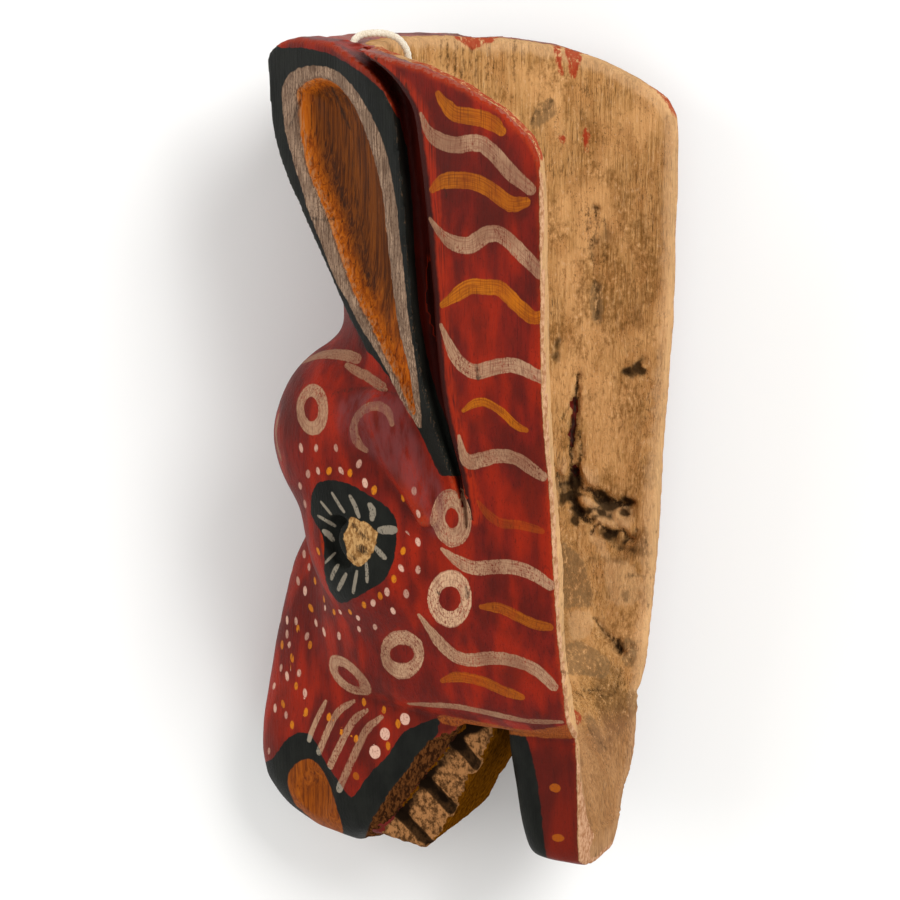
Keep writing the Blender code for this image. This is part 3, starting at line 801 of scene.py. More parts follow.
# rings and loops
ring(452, 518, 21, 29, 7, 10, 0.55)
ring(450, 599, 22, 29, 11, 12, 0.85)
ring(402, 654, 22, 25, 12, 9, 0.6)
ring(311, 409, 16, 26, 7, 12, 0.45)
brush([(392, 424), (388, 412), (378, 406), (366, 408), (357, 417), (354, 430), (358, 443), (366, 450)], 10, "white", 0.3, 0.5, 0.6)
ring(348, 677, 27, 12, 14, 5, 0.5, 42)
brush([(298, 365), (316, 356), (330, 354), (344, 355), (358, 359)], 12, "white", 0.3, 0.5, 0.8)
brush([(347, 365), (358, 372), (367, 376), (379, 385), (386, 390)], 10, "white", 0.25, 0.6, 0.3)
brush([(279, 414), (276, 430), (277, 445), (281, 459)], 8, "white", 0.3, 0.4, 0.6)
# whisker strokes on the snout
for pts, w in (([(326, 701), (320, 713), (313, 728), (309, 740)], 6), ([(354, 701), (339, 711), (329, 728), (319, 752)], 7.5),
               ([(367, 710), (354, 720), (344, 737), (330, 766)], 8), ([(382, 717), (368, 728), (358, 747), (347, 771), (339, 789)], 8.5)):
    brush(pts, w, "white", 0.5, 0.5, 1.0)
# lashes round the eye
for pts, w in (([(332, 493), (338, 503), (344, 512)], 4), ([(321, 502), (326, 508), (331, 514)], 4),
               ([(318, 516), (327, 521), (335, 526)], 4), ([(324, 531), (329, 535), (333, 540)], 6),
               ([(350, 496), (355, 506), (359, 517)], 5), ([(370, 505), (373, 511), (372, 519)], 7),
               ([(380, 530), (388, 530), (395, 530)], 9), ([(375, 547), (380, 553), (385, 558)], 6),
               ([(366, 562), (367, 572), (367, 582)], 4), ([(357, 571), (355, 582), (353, 593)], 4),
               ([(346, 574), (342, 582), (338, 590)], 5), ([(338, 565), (334, 572), (331, 579)], 5),
               ([(335, 553), (330, 558), (325, 563)], 3)):
    brush(pts, w, "white", 0.15, 0.7, 0.7)
WHITE_DOTS = [
    (301, 448), (316, 448), (336, 448), (359, 464), (365, 483), (341, 471), (318, 471), (308, 474), (300, 486),
    (305, 504), (418, 514), (414, 491), (407, 535), (418, 542), (401, 568), (418, 570), (406, 594), (393, 611),
    (387, 592), (373, 603), (375, 627), (359, 629), (358, 618), (340, 612), (339, 636), (324, 632), (325, 608),
    (316, 623), (304, 554), (309, 567), (305, 591), (298, 581), (296, 621), (287, 620), (287, 634), (307, 636),
    (289, 645), (281, 668), (287, 676), (299, 673), (274, 686), (305, 693), (275, 708), (286, 715), (269, 751),
]
YELLOW_DOTS = [
    (329, 471), (350, 473), (374, 490), (403, 498), (403, 551), (394, 579), (380, 596), (364, 605), (350, 612),
    (334, 612), (324, 599), (318, 551), (315, 581), (311, 608), (310, 645), (298, 629), (292, 658), (296, 686),
    (292, 725), (306, 712), (282, 645), (283, 704), (364, 702), (384, 710), (329, 717), (341, 731), (356, 739),
    (398, 724), (388, 746),
]
for px, py in WHITE_DOTS:
    dab(px, py, "white", tone=0.6)
for px, py in YELLOW_DOTS:
    dab(px, py, "yellow", tone=0.85)
for px, py, r in ((405, 719, 5), (385, 734, 5), (375, 752, 6.3)):
    dab(px, py, "white", r, 1.15, 0.9)
dab(356, 776, "yellow", 4, 1.2, 0.2)
dab(555, 788, "yellow", 5, 1.3, 0.35, 90)
dab(558, 838, "yellow", 4, 1.6, 0.3, 90)

# cracks, cuts and grime lines, with painted shade in the scars' gouges, the crease under the brow, the gap behind the
# ear and the eye's pit
# the scars are painted dark along their lines: painted shade in the gouges, with grime
for line, width, deep in SCARS:
    brush(line, (width[0] + width[1]) / 2 * (0.8 if deep > 1 else 0.6), "dark", min(1, 0.45 + deep / 3), 0.7, 0.8)
for pts, w, tone in (
        ([(441, 40), (441, 62)], 1.6, 0.5), ([(447, 40), (448, 72)], 2.0, 0.6), ([(455, 42), (456, 78)], 2.4, 0.7),
        ([(463, 50), (462, 78)], 1.8, 0.6), ([(471, 48), (471, 72)], 1.6, 0.5), ([(476, 60), (476, 82)], 2.0, 0.5),
        ([(488, 50), (488, 74)], 1.4, 0.4), ([(515, 39), (514, 80)], 1.8, 0.7), ([(524, 46), (524, 66)], 1.4, 0.4),
        ([(531, 124), (535, 112), (540, 104), (552, 100)], 2.4, 0.45), ([(538, 112), (552, 108)], 2.0, 0.4),
        ([(626, 575), (640, 576), (656, 578)], 1.8, 0.4), ([(646, 540), (648, 572)], 1.8, 0.4),
        ([(560, 604), (578, 607), (592, 607)], 1.6, 0.4), ([(562, 672), (585, 677), (606, 679), (614, 668)], 1.8, 0.45),
        ([(622, 665), (616, 690), (606, 697), (590, 693)], 1.8, 0.4), ([(587, 725), (596, 738), (606, 748)], 2.2, 0.35),
        ([(597, 850), (594, 862)], 2.0, 0.5), ([(575, 692), (583, 696)], 3.0, 0.6),
        ([(477, 366), (478, 379)], 3.4, 0.9), ([(375, 58), (379, 65)], 3, 0.8), ([(395, 82), (398, 90)], 4.5, 0.8),
        ([(406, 84), (408, 92)], 3.6, 0.8), ([(437, 592), (439, 594)], 3.2, 0.9), ([(466, 588), (467, 596)], 5, 0.7),
        ([(302, 78), (298, 108), (289, 127)], 2.2, 0.7), ([(311, 217), (322, 220), (334, 219)], 2.6, 0.8),
        ([(332, 88), (338, 100), (344, 116), (350, 128)], 3.4, 0.9), ([(352, 150), (356, 200), (366, 250)], 2.0, 0.5),
        ([(327, 110), (334, 160), (345, 210)], 1.8, 0.45), ([(366, 262), (371, 290)], 3.4, 0.6),
        # painted shade along the crease under the brow
        ([(333, 394), (348, 390), (363, 388), (380, 390), (396, 394)], 2.0, 0.4),
        # painted shade in the eye's pit and between the chopped faces of its lump
        ([(359, 546), (365, 552)], 7, 1.0), ([(352, 523), (360, 533), (369, 540)], 1.8, 0.8), ([(346, 551), (356, 560)], 2.4, 0.8),
        ([(368, 528), (362, 540)], 1.6, 0.6),
        # painted shadow along the gap behind the ear, then a short dark mark
        ([(393, 112), (402, 150), (407, 200), (410, 250)], 1.6, 0.6), ([(445, 189), (446, 197)], 2.0, 0.6)):
    brush(pts, w, "dark", tone, 0.7, 0.7)

# the same marks on the right side, a little looser
_loose = np.random.default_rng(8)
for m in list(marks):
    if m["kind"] == "dark" and len(m["p"]) > 3 and m["p"][:, 0].mean() > 0:
        continue
    shift = np.array((0, _loose.normal(0, 1.0), _loose.normal(0, 1.3)))
    if m["kind"] == "dark":
        shift = np.array((0, 2.5, 4.0))
    pts = []
    for q in m["p"]:
        hit = TREE.find_nearest(Vector(np.array((-q[0], q[1], q[2])) + shift))
        pts.append(np.array(hit[0]))
    pts = np.array(pts)
    if len(pts) > 4:
        ok = np.linalg.norm(np.diff(pts, axis=0), axis=1)
        if ok.max() > 14:
            continue
    marks.append({**m, "p": pts, "w": m["w"] * _loose.uniform(0.9, 1.1)})
for m in list(rings):
    c, n = TREE.find_nearest(Vector((-m["c"][0], m["c"][1] + _loose.normal(0, 1), m["c"][2] + _loose.normal(0, 1.2))))[:2]
    flip = np.array((-1, 1, 1))
    rings.append({**m, "c": np.array(c), "n": np.array(n), "u": m["u"] * flip * _loose.uniform(0.92, 1.08),
                  "v": m["v"] * flip * _loose.uniform(0.92, 1.08)})
for m in list(dots):
    at = np.array((-m["c"][0], m["c"][1] + _loose.normal(0, 0.8), m["c"][2] + _loose.normal(0, 0.8)))
    c, n = TREE.find_nearest(Vector(at))[:2]
    add_dot(np.array(c), m["u"] * (-1, 1, 1), np.array(n), m["r"], m["long"], m["kind"], m["tone"])
# dabs that carry the pattern across the bridge of the snout
for k in range(46):
    x = _loose.uniform(-24, 24)
    z = _loose.uniform(-112, -42)
    hit = TREE.ray_cast(Vector((x, -300, z)), Vector((0, 1, 0)))
    if hit[0] is None:
        continue
    c = np.array(hit[0])
    if any(np.linalg.norm(c - m["c"]) < 6.5 for m in dots):
        continue
    d = np.array((_loose.normal(0, 0.15), 0.12, 1.0))
    add_dot(c, d, np.array(hit[1]), 0.95, 1.7, "white" if k % 3 else "yellow", 0.6)


def measure_mark(m, pts, nrm):
    """Along (u), across (v), distance past the nearer end (a), half width and clearance."""
    p = m["p"]
    if m["closed"]:
        p = np.concatenate((p, p[:1]))
    w = np.concatenate((m["w"], m["w"][:1])) if m["closed"] else m["w"]
    seg = p[1:] - p[:-1]
    ln = np.maximum(np.linalg.norm(seg, axis=1), 1e-6)
    run = np.concatenate(([0], np.cumsum(ln)))
    best = np.full(len(pts), 1e9)
    out = np.zeros((len(pts), 5))
    for k in range(len(seg)):
        e = seg[k] / ln[k]
        r = pts - p[k]
        s = r @ e
        sc = np.clip(s, 0, ln[k])
        off = r - sc[:, None] * e
        d = np.linalg.norm(off, axis=1)
        better = d < best
        best = np.where(better, d, best)
        side = np.cross(nrm, e)
        across = (r * side).sum(1) / np.maximum(np.linalg.norm(side, axis=1), 0.2)
        s_open = np.where((k == 0) & (s < 0), s, np.where((k == len(seg) - 1) & (s > ln[k]), s, sc))
        u = run[k] + s_open
        a = 99.0 * np.ones(len(pts)) if m["closed"] else np.minimum(u, run[-1] - u)
        hw = w[k] + (w[k + 1] - w[k]) * sc / ln[k]
        new = np.stack((u, across, a, hw, d - hw), 1)
        out[better] = new[better]
    return out


GAP_IN_LAYER = 6.5
LAYERS = {"white": 4, "yellow": 2, "dark": 4}


def sort_layers():
    """Puts the marks of one colour in layers whose marks lie well apart."""
    layers = {k: [[] for _ in range(n)] for k, n in LAYERS.items()}
    for m in sorted(marks, key=lambda m: -len(m["p"])):
        for layer in layers[m["kind"]]:
            clear = True
            for o in layer:
                d = np.linalg.norm(m["p"][:, None] - o["p"][None], axis=2) - m["w"][:, None] - o["w"][None]
                if d.min() < GAP_IN_LAYER:
                    clear = False
                    break
            if clear:
                layer.append(m)
                break
        else:
            print("no layer has room for a", m["kind"], "mark at", m["p"][0].round())
    return layers


layers = sort_layers()
attributes = {}
for kind, group in layers.items():
    for k, layer in enumerate(group):
        uva = np.zeros((len(V), 3))
        wet = np.zeros((len(V), 3))
        wet[:, 1] = 9.0
        for m in layer:
            reach = m["w"].max() + 8
            lo, hi = m["p"].min(0) - reach, m["p"].max(0) + reach
            near = np.where(((V > lo) & (V < hi)).all(1))[0]
            if not len(near):
                continue
            got = measure_mark(m, V[near], N[near])
            take = got[:, 4] < wet[near, 1]
            i = near[take]
            uva[i] = got[take, :3]
            wet[i, 0] = got[take, 3]
            wet[i, 1] = got[take, 4]
            wet[i, 2] = m["tone"]
        attributes[f"{kind}_{k}_uva"] = uva
        attributes[f"{kind}_{k}_wet"] = wet
RING_LAYERS = 2
ring_sets = [[] for _ in range(RING_LAYERS)]
for m in rings:
    for group in ring_sets:
        if all(np.linalg.norm(m["c"] - o["c"]) > 33 for o in group):
            group.append(m)
            break
    else:
        ring_sets[-1].append(m)
for k, group in enumerate(ring_sets):
    uvt = np.zeros((len(V), 3))
    wet = np.zeros((len(V), 3))
    wet[:, 1] = 9.0
    for m in group:
        r = V - m["c"]
        dist = np.linalg.norm(r, axis=1)
        reach = max(np.linalg.norm(m["u"]), np.linalg.norm(m["v"])) * 1.35 + 1.5
        near = np.where((dist < reach + 4) & (dist - reach < wet[:, 1]) & ((N @ m["n"]) > -0.1))[0]
        g = np.array([[m["u"] @ m["u"], m["u"] @ m["v"]], [m["u"] @ m["v"], m["v"] @ m["v"]]])
        uv = np.linalg.solve(g, np.stack((r[near] @ m["u"], r[near] @ m["v"])))
        uvt[near, 0], uvt[near, 1], uvt[near, 2] = uv[0], uv[1], m["tone"]
        wet[near, 0], wet[near, 1], wet[near, 2] = m["wu"], dist[near] - reach, m["wv"]
    attributes[f"ring_{k}_uvt"] = uvt
    attributes[f"ring_{k}_wet"] = wet
DOT_LAYERS = 4
dot_sets = [[] for _ in range(DOT_LAYERS)]
for m in sorted(dots, key=lambda m: -m["r"]):
    for group in dot_sets:
        if all(np.linalg.norm(m["c"] - o["c"]) > (m["r"] * m["long"] + o["r"] * o["long"] + 4.2) for o in group):
            group.append(m)
            break
    else:
        print("no room for a dot at", m["c"].round())
for k, group in enumerate(dot_sets):
    uvt = np.zeros((len(V), 3))
    uvt[:, 0] = 4.0
    kre = np.zeros((len(V), 3))
    kre[:, 2] = 9.0
    for m in group:
        r = V - m["c"]
        dist = np.linalg.norm(r, axis=1)
        reach = m["r"] * m["long"] + 0.8
        near = np.where((dist < reach + 3.5) & (dist - reach < kre[:, 2]))[0]
        uvt[near, 0] = r[near] @ m["u"] / (m["r"] * m["long"])
        uvt[near, 1] = r[near] @ m["v"] / m["r"]
        uvt[near, 2] = m["tone"]
        kre[near, 0] = m["kind"] == "yellow"
        kre[near, 1] = m["r"]
        kre[near, 2] = dist[near] - reach
    attributes[f"dot_{k}_uvt"] = uvt
    attributes[f"dot_{k}_kre"] = kre
print("dots", [len(g) for g in dot_sets])
print("marks", len(marks), "rings", len(rings), {k: [len(a) for a in g] for k, g in layers.items()})


# ---- areas ----------------------------------------------------------------
EYE_PATCH = [
    (311, 504), (313, 490), (320, 482), (334, 480), (349, 484), (366, 493), (382, 503), (395, 516), (397, 531),
    (395, 552), (390, 570), (382, 582), (366, 592), (351, 600), (341, 603), (334, 597), (326, 582), (324, 562),
    (324, 542), (319, 529), (312, 517),
]
EYE_WOOD = [
    (350, 517), (358, 519), (368, 524), (377, 532), (376, 543), (372, 554), (366, 562), (359, 566), (352, 564),
    (347, 556), (346, 548), (344, 541), (343, 534), (348, 528),
]
NOSE_BLACK = [
    (250, 770), (271, 760), (288, 738), (305, 732), (316, 742), (321, 754), (328, 766), (337, 779), (347, 794),
    (353, 797), (360, 787), (372, 771), (388, 755), (403, 733), (420, 724), (435, 719), (446, 720), (430, 744),
    (412, 769), (393, 792), (379, 811), (369, 830), (365, 856), (330, 860), (250, 820),
]
NOSTRIL = [
    (288, 776), (293, 766), (305, 759), (316, 762), (326, 776), (333, 794), (338, 812), (343, 835), (321, 829),
    (309, 817), (296, 805), (289, 789),
]
JAW_BLACK = [(496, 726), (506, 731), (522, 729), (534, 765), (540, 800), (544, 840), (547, 872), (526, 870), (512, 800)]
JAW_TIP = [(528, 866), (540, 869), (560, 871), (592, 871), (590, 884), (526, 880)]
LIP_SLANT = [
    (445, 722), (426, 744), (409, 768), (390, 791), (378, 810), (368, 829), (364, 852), (392, 842), (392, 831),
    (399, 802), (421, 770), (447, 737),
]
LEDGE = [(440, 715), (480, 722), (530, 730), (566, 725), (582, 729), (581, 738), (530, 737), (480, 730), (444, 724)]
SMEAR = [
    (336, 404), (352, 394), (372, 388), (392, 392), (405, 404), (414, 430), (428, 455), (444, 484), (446, 520),
    (434, 538), (424, 520), (408, 492), (388, 470), (368, 455), (346, 440), (336, 425),
]
EAR_TOP_LINE = np.array([(273, 43), (281, 48), (303, 47.5), (328, 53), (344, 61), (366, 76), (384, 92), (397, 117)], float)
# in the hollow
STAINS = [
    [(450, 30), (455, 37), (466, 46), (476, 49), (488, 43), (500, 36), (500, 28)],
    [(524, 34), (548, 38), (564, 42), (580, 46), (578, 38), (550, 32)],
    [(552, 40), (558, 40), (564, 70), (560, 74)], [(565, 40), (579, 42), (581, 60), (574, 80), (568, 70)],
    [(578, 38), (612, 52), (648, 72), (684, 104), (686, 124), (672, 114), (663, 98), (648, 84), (624, 68), (600, 55), (580, 47)],
    [(558, 136), (564, 135), (566, 141), (560, 143)], [(584, 128), (589, 130), (588, 151), (584, 148)],
    [(566, 712), (580, 712), (580, 724), (568, 724)], [(528, 160), (540, 160), (540, 174), (529, 174)],
]
# greyer patches on the far wall of the hollow: partly grime, partly painted shade on its facets
GREYS = [
    [(560, 545), (572, 548), (584, 560), (590, 580), (592, 606), (575, 607), (560, 604)],
    [(562, 650), (575, 640), (590, 645), (605, 655), (612, 665), (606, 678), (585, 676), (565, 672)],
    [(622, 638), (637, 642), (636, 662), (624, 668)], [(622, 590), (629, 591), (629, 601), (622, 600)],
    [(529, 124), (540, 104), (554, 98), (555, 116), (538, 128)], [(590, 284), (603, 286), (602, 322), (591, 320)],
    [(556, 472), (566, 480), (566, 494), (556, 492)], [(584, 716), (594, 718), (608, 748), (598, 752)],
]
# paler facets on the far wall of the hollow: painted light
PALES = [
    [(590, 503), (628, 505), (634, 520), (622, 528), (596, 522)], [(588, 532), (604, 540), (612, 560), (600, 556)],
    [(604, 562), (636, 566), (640, 600), (612, 604)], [(570, 612), (590, 612), (592, 632), (572, 640)],
]


def in_picture(p, pts):
    """Distance in millimetres into an area of the picture, positive inside."""
    q = project(p)
    return -outline(q[:, 0], q[:, 1], curve_through(pts, True, 3)) / 2.46


def area(pts, where, points):
    """The same for some of the points, and far outside for the others."""
    out = np.full(len(points), -9.0)
    at = np.where(where)[0]
    if len(at):
        out[at] = np.clip(in_picture(points[at], pts), -9, 12)
    return out


M = V.copy()
M[:, 0] = np.abs(V[:, 0])
NM = N.copy()
NM[:, 0] = np.where(V[:, 0] < 0, -N[:, 0], N[:, 0])
facing = NM @ CAM_C
# the other wall's inside, as the camera has it
W = V.copy()
W[:, 0] = -np.abs(V[:, 0])
x, y, z = V.T
ax = np.abs(x)
hollow = read(F_HOLLOW, V)
teeth = read(F_TEETH, V)
slots = read(F_SLOTS, V)
gap = read(F_GAP, V)
to_hollow = (N * slope(F_HOLLOW, V)).sum(1)
open_to = np.where(z < -98, -0.35, 0.15)
inside = (to_hollow < open_to) & (hollow < 7)

black = np.full(len(V), -9.0)
eye = area(EYE_PATCH, (facing > -0.2) & (y < -60) & (hollow > 4), M)
black = np.maximum(black, eye)
nose = area(NOSE_BLACK, (facing > 0.02) & (z < -86) & (y < -60), M)
front_nose = np.where((facing <= 0.02) & (z < -80) & (y < -110), -124 - z + 3 * noise(V, 14), -9)
black = np.maximum(black, np.maximum(nose, front_nose))
jaw_front = area(JAW_BLACK, (z < -103) & (y > -36) & ~inside & (facing > 0), M)
jaw_face = np.where((z < -103) & (y > -38) & (y < -8) & (N[:, 1] < -0.6), 3.0, -9)
black = np.maximum(black, np.maximum(jaw_front, jaw_face))

# ears: black rim, white border, orange scoop
ear_white = np.full(len(V), -9.0)
ear_scoop = np.full(len(V), -9.0)
ear_t = np.zeros(len(V))
on_ear = np.zeros(len(V), bool)
for s in (-1, 1):
    sx = x * s
    t = (sx - EAR_FRONT[0]) * EAR_RUN[0] + (y - EAR_FRONT[1]) * EAR_RUN[1]
    n = (sx - EAR_FRONT[0]) * EAR_OUT[0] + (y - EAR_FRONT[1]) * EAR_OUT[1]
    ez = z if s > 0 else z + RIGHT_EAR_LOW * np.clip((z - 60) / 90, 0, 1)
    n0 = table(EAR_SINK, ez)[0]
    body = outline(t, ez, EAR_OUTLINE)
    on = (sx > 0) & (body < 1.5) & (n > n0 - 13) & (n < n0 + 2.5) & (z > -15)
    on_ear |= on
    rim_in = np.minimum(n - (n0 - 3.2 - 5.5 * np.clip((150 - ez) / 20, 0, 1)), 6)
    q = project(np.stack((sx, y, ez), 1))
    above = (np.interp(q[:, 0], EAR_TOP_LINE[:, 0], EAR_TOP_LINE[:, 1]) - q[:, 1]) / 2.46
    on_face = np.where(on, np.minimum(rim_in, 9), -9)
    # low down the black lies only behind the scoop, and ends before its tip
    left_of = np.interp(q[:, 1], [318, 340, 362, 388, 412, 430, 490], [250, 356, 378, 396, 409, 419, 446])
    on_face = np.minimum(on_face, (q[:, 0] - left_of) / 2.46)
    on_face = np.minimum(on_face, (476 - q[:, 1]) / 2.46)
    black = np.maximum(black, np.where(on, np.minimum(on_face, -above), -9))
    in_scoop = -outline(t, ez, SCOOP_LINE)
    deep = (sx > 0) & (n > n0 - 13) & (n < n0 + 2.5) & (z > -5)
    ear_white = np.where(deep & (n > n0 - 2.2), np.maximum(ear_white, -outline(t, ez, WHITE_LINE)), ear_white)
    ear_scoop = np.where(deep & (body < 0), np.maximum(ear_scoop, in_scoop + 0.2), ear_scoop)
    ear_t = np.where(deep, t, ear_t)

nostril = area(NOSTRIL, (z < -105) & (y < -90) & (facing > -0.3), M)
smear = area(SMEAR, (facing > 0.1) & (y < -40), M)

# raw wood: the hollow, the sawn rim, the back of the jaw, the eye's heart
raw = np.maximum(np.where(hollow < 7, np.clip((open_to - to_hollow) * 6, -6, 6), -6), y + 1.1)
raw = np.where((z < -97) & (y < -40), -6, raw)
raw = np.where((gap < 4) & (hollow > 0.9) & (y < -4), -6, raw)
rim = np.where(y > -1.6, y + 1.1, -3) - np.where(to_hollow < 0.1, 3.0, 0.0)
mouth_d = -outline(y, z, MOUTH)
jaw_part = (y > -37.5) & (z < -100)
tooth_skin = np.where((teeth < 1.0) & (z < -98) & (mouth_d > -0.5) & ~jaw_part, 3.0, -3.0)
raw_eye = area(EYE_WOOD, (facing > -0.4) & (y < -60) & (hollow > 3), M)
back_face = np.where((tooth_skin > 0) & (N[:, 1] > 0.42) & (slots > 1.6), 3.0, -3.0)
# depth into the gap behind the ear, which carries its painted shadow and the painted highlight beside it
groove = np.where(on_ear | inside | (z < -14), 9.0, np.clip(gap, -6, 9))
lip_under = area(LIP_SLANT, (z < -98) & (facing > -0.4) & (y < -45) & (y > -125) & (teeth > 0.9) & (N[:, 1] > 0.1), M)
lip_under = np.maximum(lip_under, np.where((z < -106) & (y > -130) & (y < -45) & (teeth > 0.9) & (N[:, 1] > 0.4), 3.0, -9))
lip_under = np.maximum(lip_under, np.where((z < -96) & (mouth_d > 1.0) & (teeth > 1.0) & ~jaw_part, 2.5, -9))
top_face = np.where((N[:, 2] > 0.5) & (z > 112) & ~on_ear & (y < -3), 3.0, -3.0)
ledge = area(LEDGE, (z < -88) & (z > -116) & (facing > 0) & (y > -75) & ~inside, M)
jaw_tip = area(JAW_TIP, (z < -140) & (y > -50) & (facing > -0.2), M)
in_far = inside & (W[:, 1] < 2)
stain = np.maximum.reduce([area(pts, in_far, W) for pts in STAINS])
grey = np.maximum.reduce([area(pts, in_far, W) for pts in GREYS])
pales = np.maximum.reduce([area(pts, in_far, W) for pts in PALES])

# convex edges and hollows, from how each point stands to its neighbours; they place chipped paint, painted highlight on
# edges and painted shade in hollows
edges = np.zeros(len(carved.edges) * 2, np.int32)
carved.edges.foreach_get("vertices", edges)
edges = edges.reshape(-1, 2)


def spread(value, times=1):
    count = np.bincount(edges.ravel(), minlength=len(V))
    for _ in range(times):
        total = np.bincount(edges[:, 0], value[edges[:, 1]], len(V)) + np.bincount(edges[:, 1], value[edges[:, 0]], len(V))
        value = 0.5 * value + 0.5 * total / np.maximum(count, 1)
    return value


e = V[edges[:, 1]] - V[edges[:, 0]]
ln = np.maximum(np.linalg.norm(e, axis=1), 1e-6)
c0 = (N[edges[:, 0]] * e).sum(1) / ln ** 2
c1 = -(N[edges[:, 1]] * e).sum(1) / ln ** 2
bend = np.bincount(edges[:, 0], -c0, len(V)) + np.bincount(edges[:, 1], -c1, len(V))
bend /= np.maximum(np.bincount(edges.ravel(), minlength=len(V)), 1)
edge = np.clip(spread(bend, 2) * 4.0, -1, 1)
edge_wide = np.clip(spread(bend, 14) * 9.0, -1, 1)

attributes["place"] = V
attributes["areas_a"] = np.stack((np.clip(black, -6, 6), np.clip(ear_white, -6, 6), np.clip(ear_scoop, -6, 12)), 1)
attributes["areas_b"] = np.stack((np.clip(nostril, -6, 6), np.clip(smear, -8, 8), np.clip(raw, -6, 6)), 1)
attributes["areas_c"] = np.stack((np.clip(raw_eye, -6, 6), tooth_skin, back_face), 1)
attributes["areas_d"] = np.stack((groove, np.clip(lip_under, -6, 6), top_face), 1)
attributes["areas_e"] = np.stack((rim, np.clip(ledge, -6, 6), np.clip(slots, -3, 6)), 1)
attributes["areas_f"] = np.stack((np.clip(stain, -6, 6), np.clip(grey, -6, 6), np.clip(pales, -6, 6)), 1)
# painted shade: the torn patch in the hollow is darkened where its chipped surface lies low
tear = torn(V) * inside
attributes["cells"] = np.stack((np.minimum(facets(V, 12, 5, (1, 1, 2.2)), 1.2), np.minimum(facets(V, 21, 9, (1, 1, 1.3)), 1.2),
                                tear * (0.35 - chips(V))), 1)
attributes["wear_shade_and_highlight"] = np.stack((edge, edge_wide, np.clip(jaw_tip, -6, 6)), 1)


# =========================================================================
# Node graphs
# =========================================================================
class Graph:
    def __init__(self, name):
        self.mat = bpy.data.materials.new(name)
        self.mat.use_nodes = True
        self.tree = self.mat.node_tree
        self.bsdf = self.tree.nodes["Principled BSDF"]

    def node(self, kind):
        return self.tree.nodes.new(kind)

    def put(self, value, socket):
        if isinstance(value, bpy.types.NodeSocket):
            self.tree.links.new(value, socket)
        elif isinstance(value, (tuple, list)) and socket.type == "RGBA":
            socket.default_value = (*value[:3], 1)
        else:
            socket.default_value = value

    def math(self, op, a, b=None, c=None, clamp=False):
        n = self.node("ShaderNodeMath")
        n.operation = op
        n.use_clamp = clamp
        for k, v in enumerate((a, b, c)):
            if v is not None:
                self.put(v, n.inputs[k])
        return n.outputs[0]

    def add(self, a, b):
        return self.math("ADD", a, b)

    def sub(self, a, b):
        return self.math("SUBTRACT", a, b)

    def mul(self, a, b):
        return self.math("MULTIPLY", a, b)

    def high(self, a, b):
        return self.math("MAXIMUM", a, b)

    def low(self, a, b):
        return self.math("MINIMUM", a, b)

    def step(self, x, lo, hi):
        """0 below lo, 1 above hi, smooth between."""
        n = self.node("ShaderNodeMapRange")
        n.interpolation_type = "SMOOTHSTEP"
        self.put(x, n.inputs["Value"])
        n.inputs["From Min"].default_value = lo
        n.inputs["From Max"].default_value = hi
        return n.outputs["Result"]

    def split(self, name):
        a = self.node("ShaderNodeAttribute")
        a.attribute_type = "GEOMETRY"
        a.attribute_name = name
        s = self.node("ShaderNodeSeparateXYZ")
        self.tree.links.new(a.outputs["Vector"], s.inputs[0])
        return s.outputs[0], s.outputs[1], s.outputs[2]

    def vector(self, name):
        a = self.node("ShaderNodeAttribute")
        a.attribute_type = "GEOMETRY"
        a.attribute_name = name
        return a.outputs["Vector"]

    def stretch(self, vec, size):
        """Coordinates so that noise features are about size millimetres."""
        n = self.node("ShaderNodeVectorMath")
        n.operation = "MULTIPLY"
        self.tree.links.new(vec, n.inputs[0])
        n.inputs[1].default_value = tuple(1 / s for s in size)
        return n.outputs[0]

    def noise(self, vec, size, detail=2.0, rough=0.5, twist=0.0, colour=False):
        n = self.node("ShaderNodeTexNoise")
        self.tree.links.new(self.stretch(vec, size), n.inputs["Vector"])
        n.inputs["Scale"].default_value = 1.0
        n.inputs["Detail"].default_value = detail
        n.inputs["Roughness"].default_value = rough
        n.inputs["Distortion"].default_value = twist
        return n.outputs["Color" if colour else "Fac"]

    def mix(self, fac, a, b, how="MIX"):
        n = self.node("ShaderNodeMix")
        n.data_type = "RGBA"
        n.blend_type = how
        n.clamp_factor = True
        self.put(fac, n.inputs[0])
        self.put(a, n.inputs[6])
        self.put(b, n.inputs[7])
        return n.outputs[2]

    def blend(self, fac, a, b):
        n = self.node("ShaderNodeMix")
        n.data_type = "FLOAT"
        n.clamp_factor = True
        self.put(fac, n.inputs[0])
        self.put(a, n.inputs[2])
        self.put(b, n.inputs[3])
        return n.outputs[0]

    def ramp(self, fac, stops):
        n = self.node("ShaderNodeValToRGB")
        r = n.color_ramp
        while len(r.elements) < len(stops):
            r.elements.new(0.5)
        for e, (p, c) in zip(r.elements, stops):
            e.position = p
            e.color = (*c, 1)
        self.put(fac, n.inputs[0])
        return n.outputs[0]


def srgb(r, g, b):
    return tuple(((c / 255 + 0.055) / 1.055) ** 2.4 if c > 10 else c / 255 / 12.92 for c in (r, g, b))


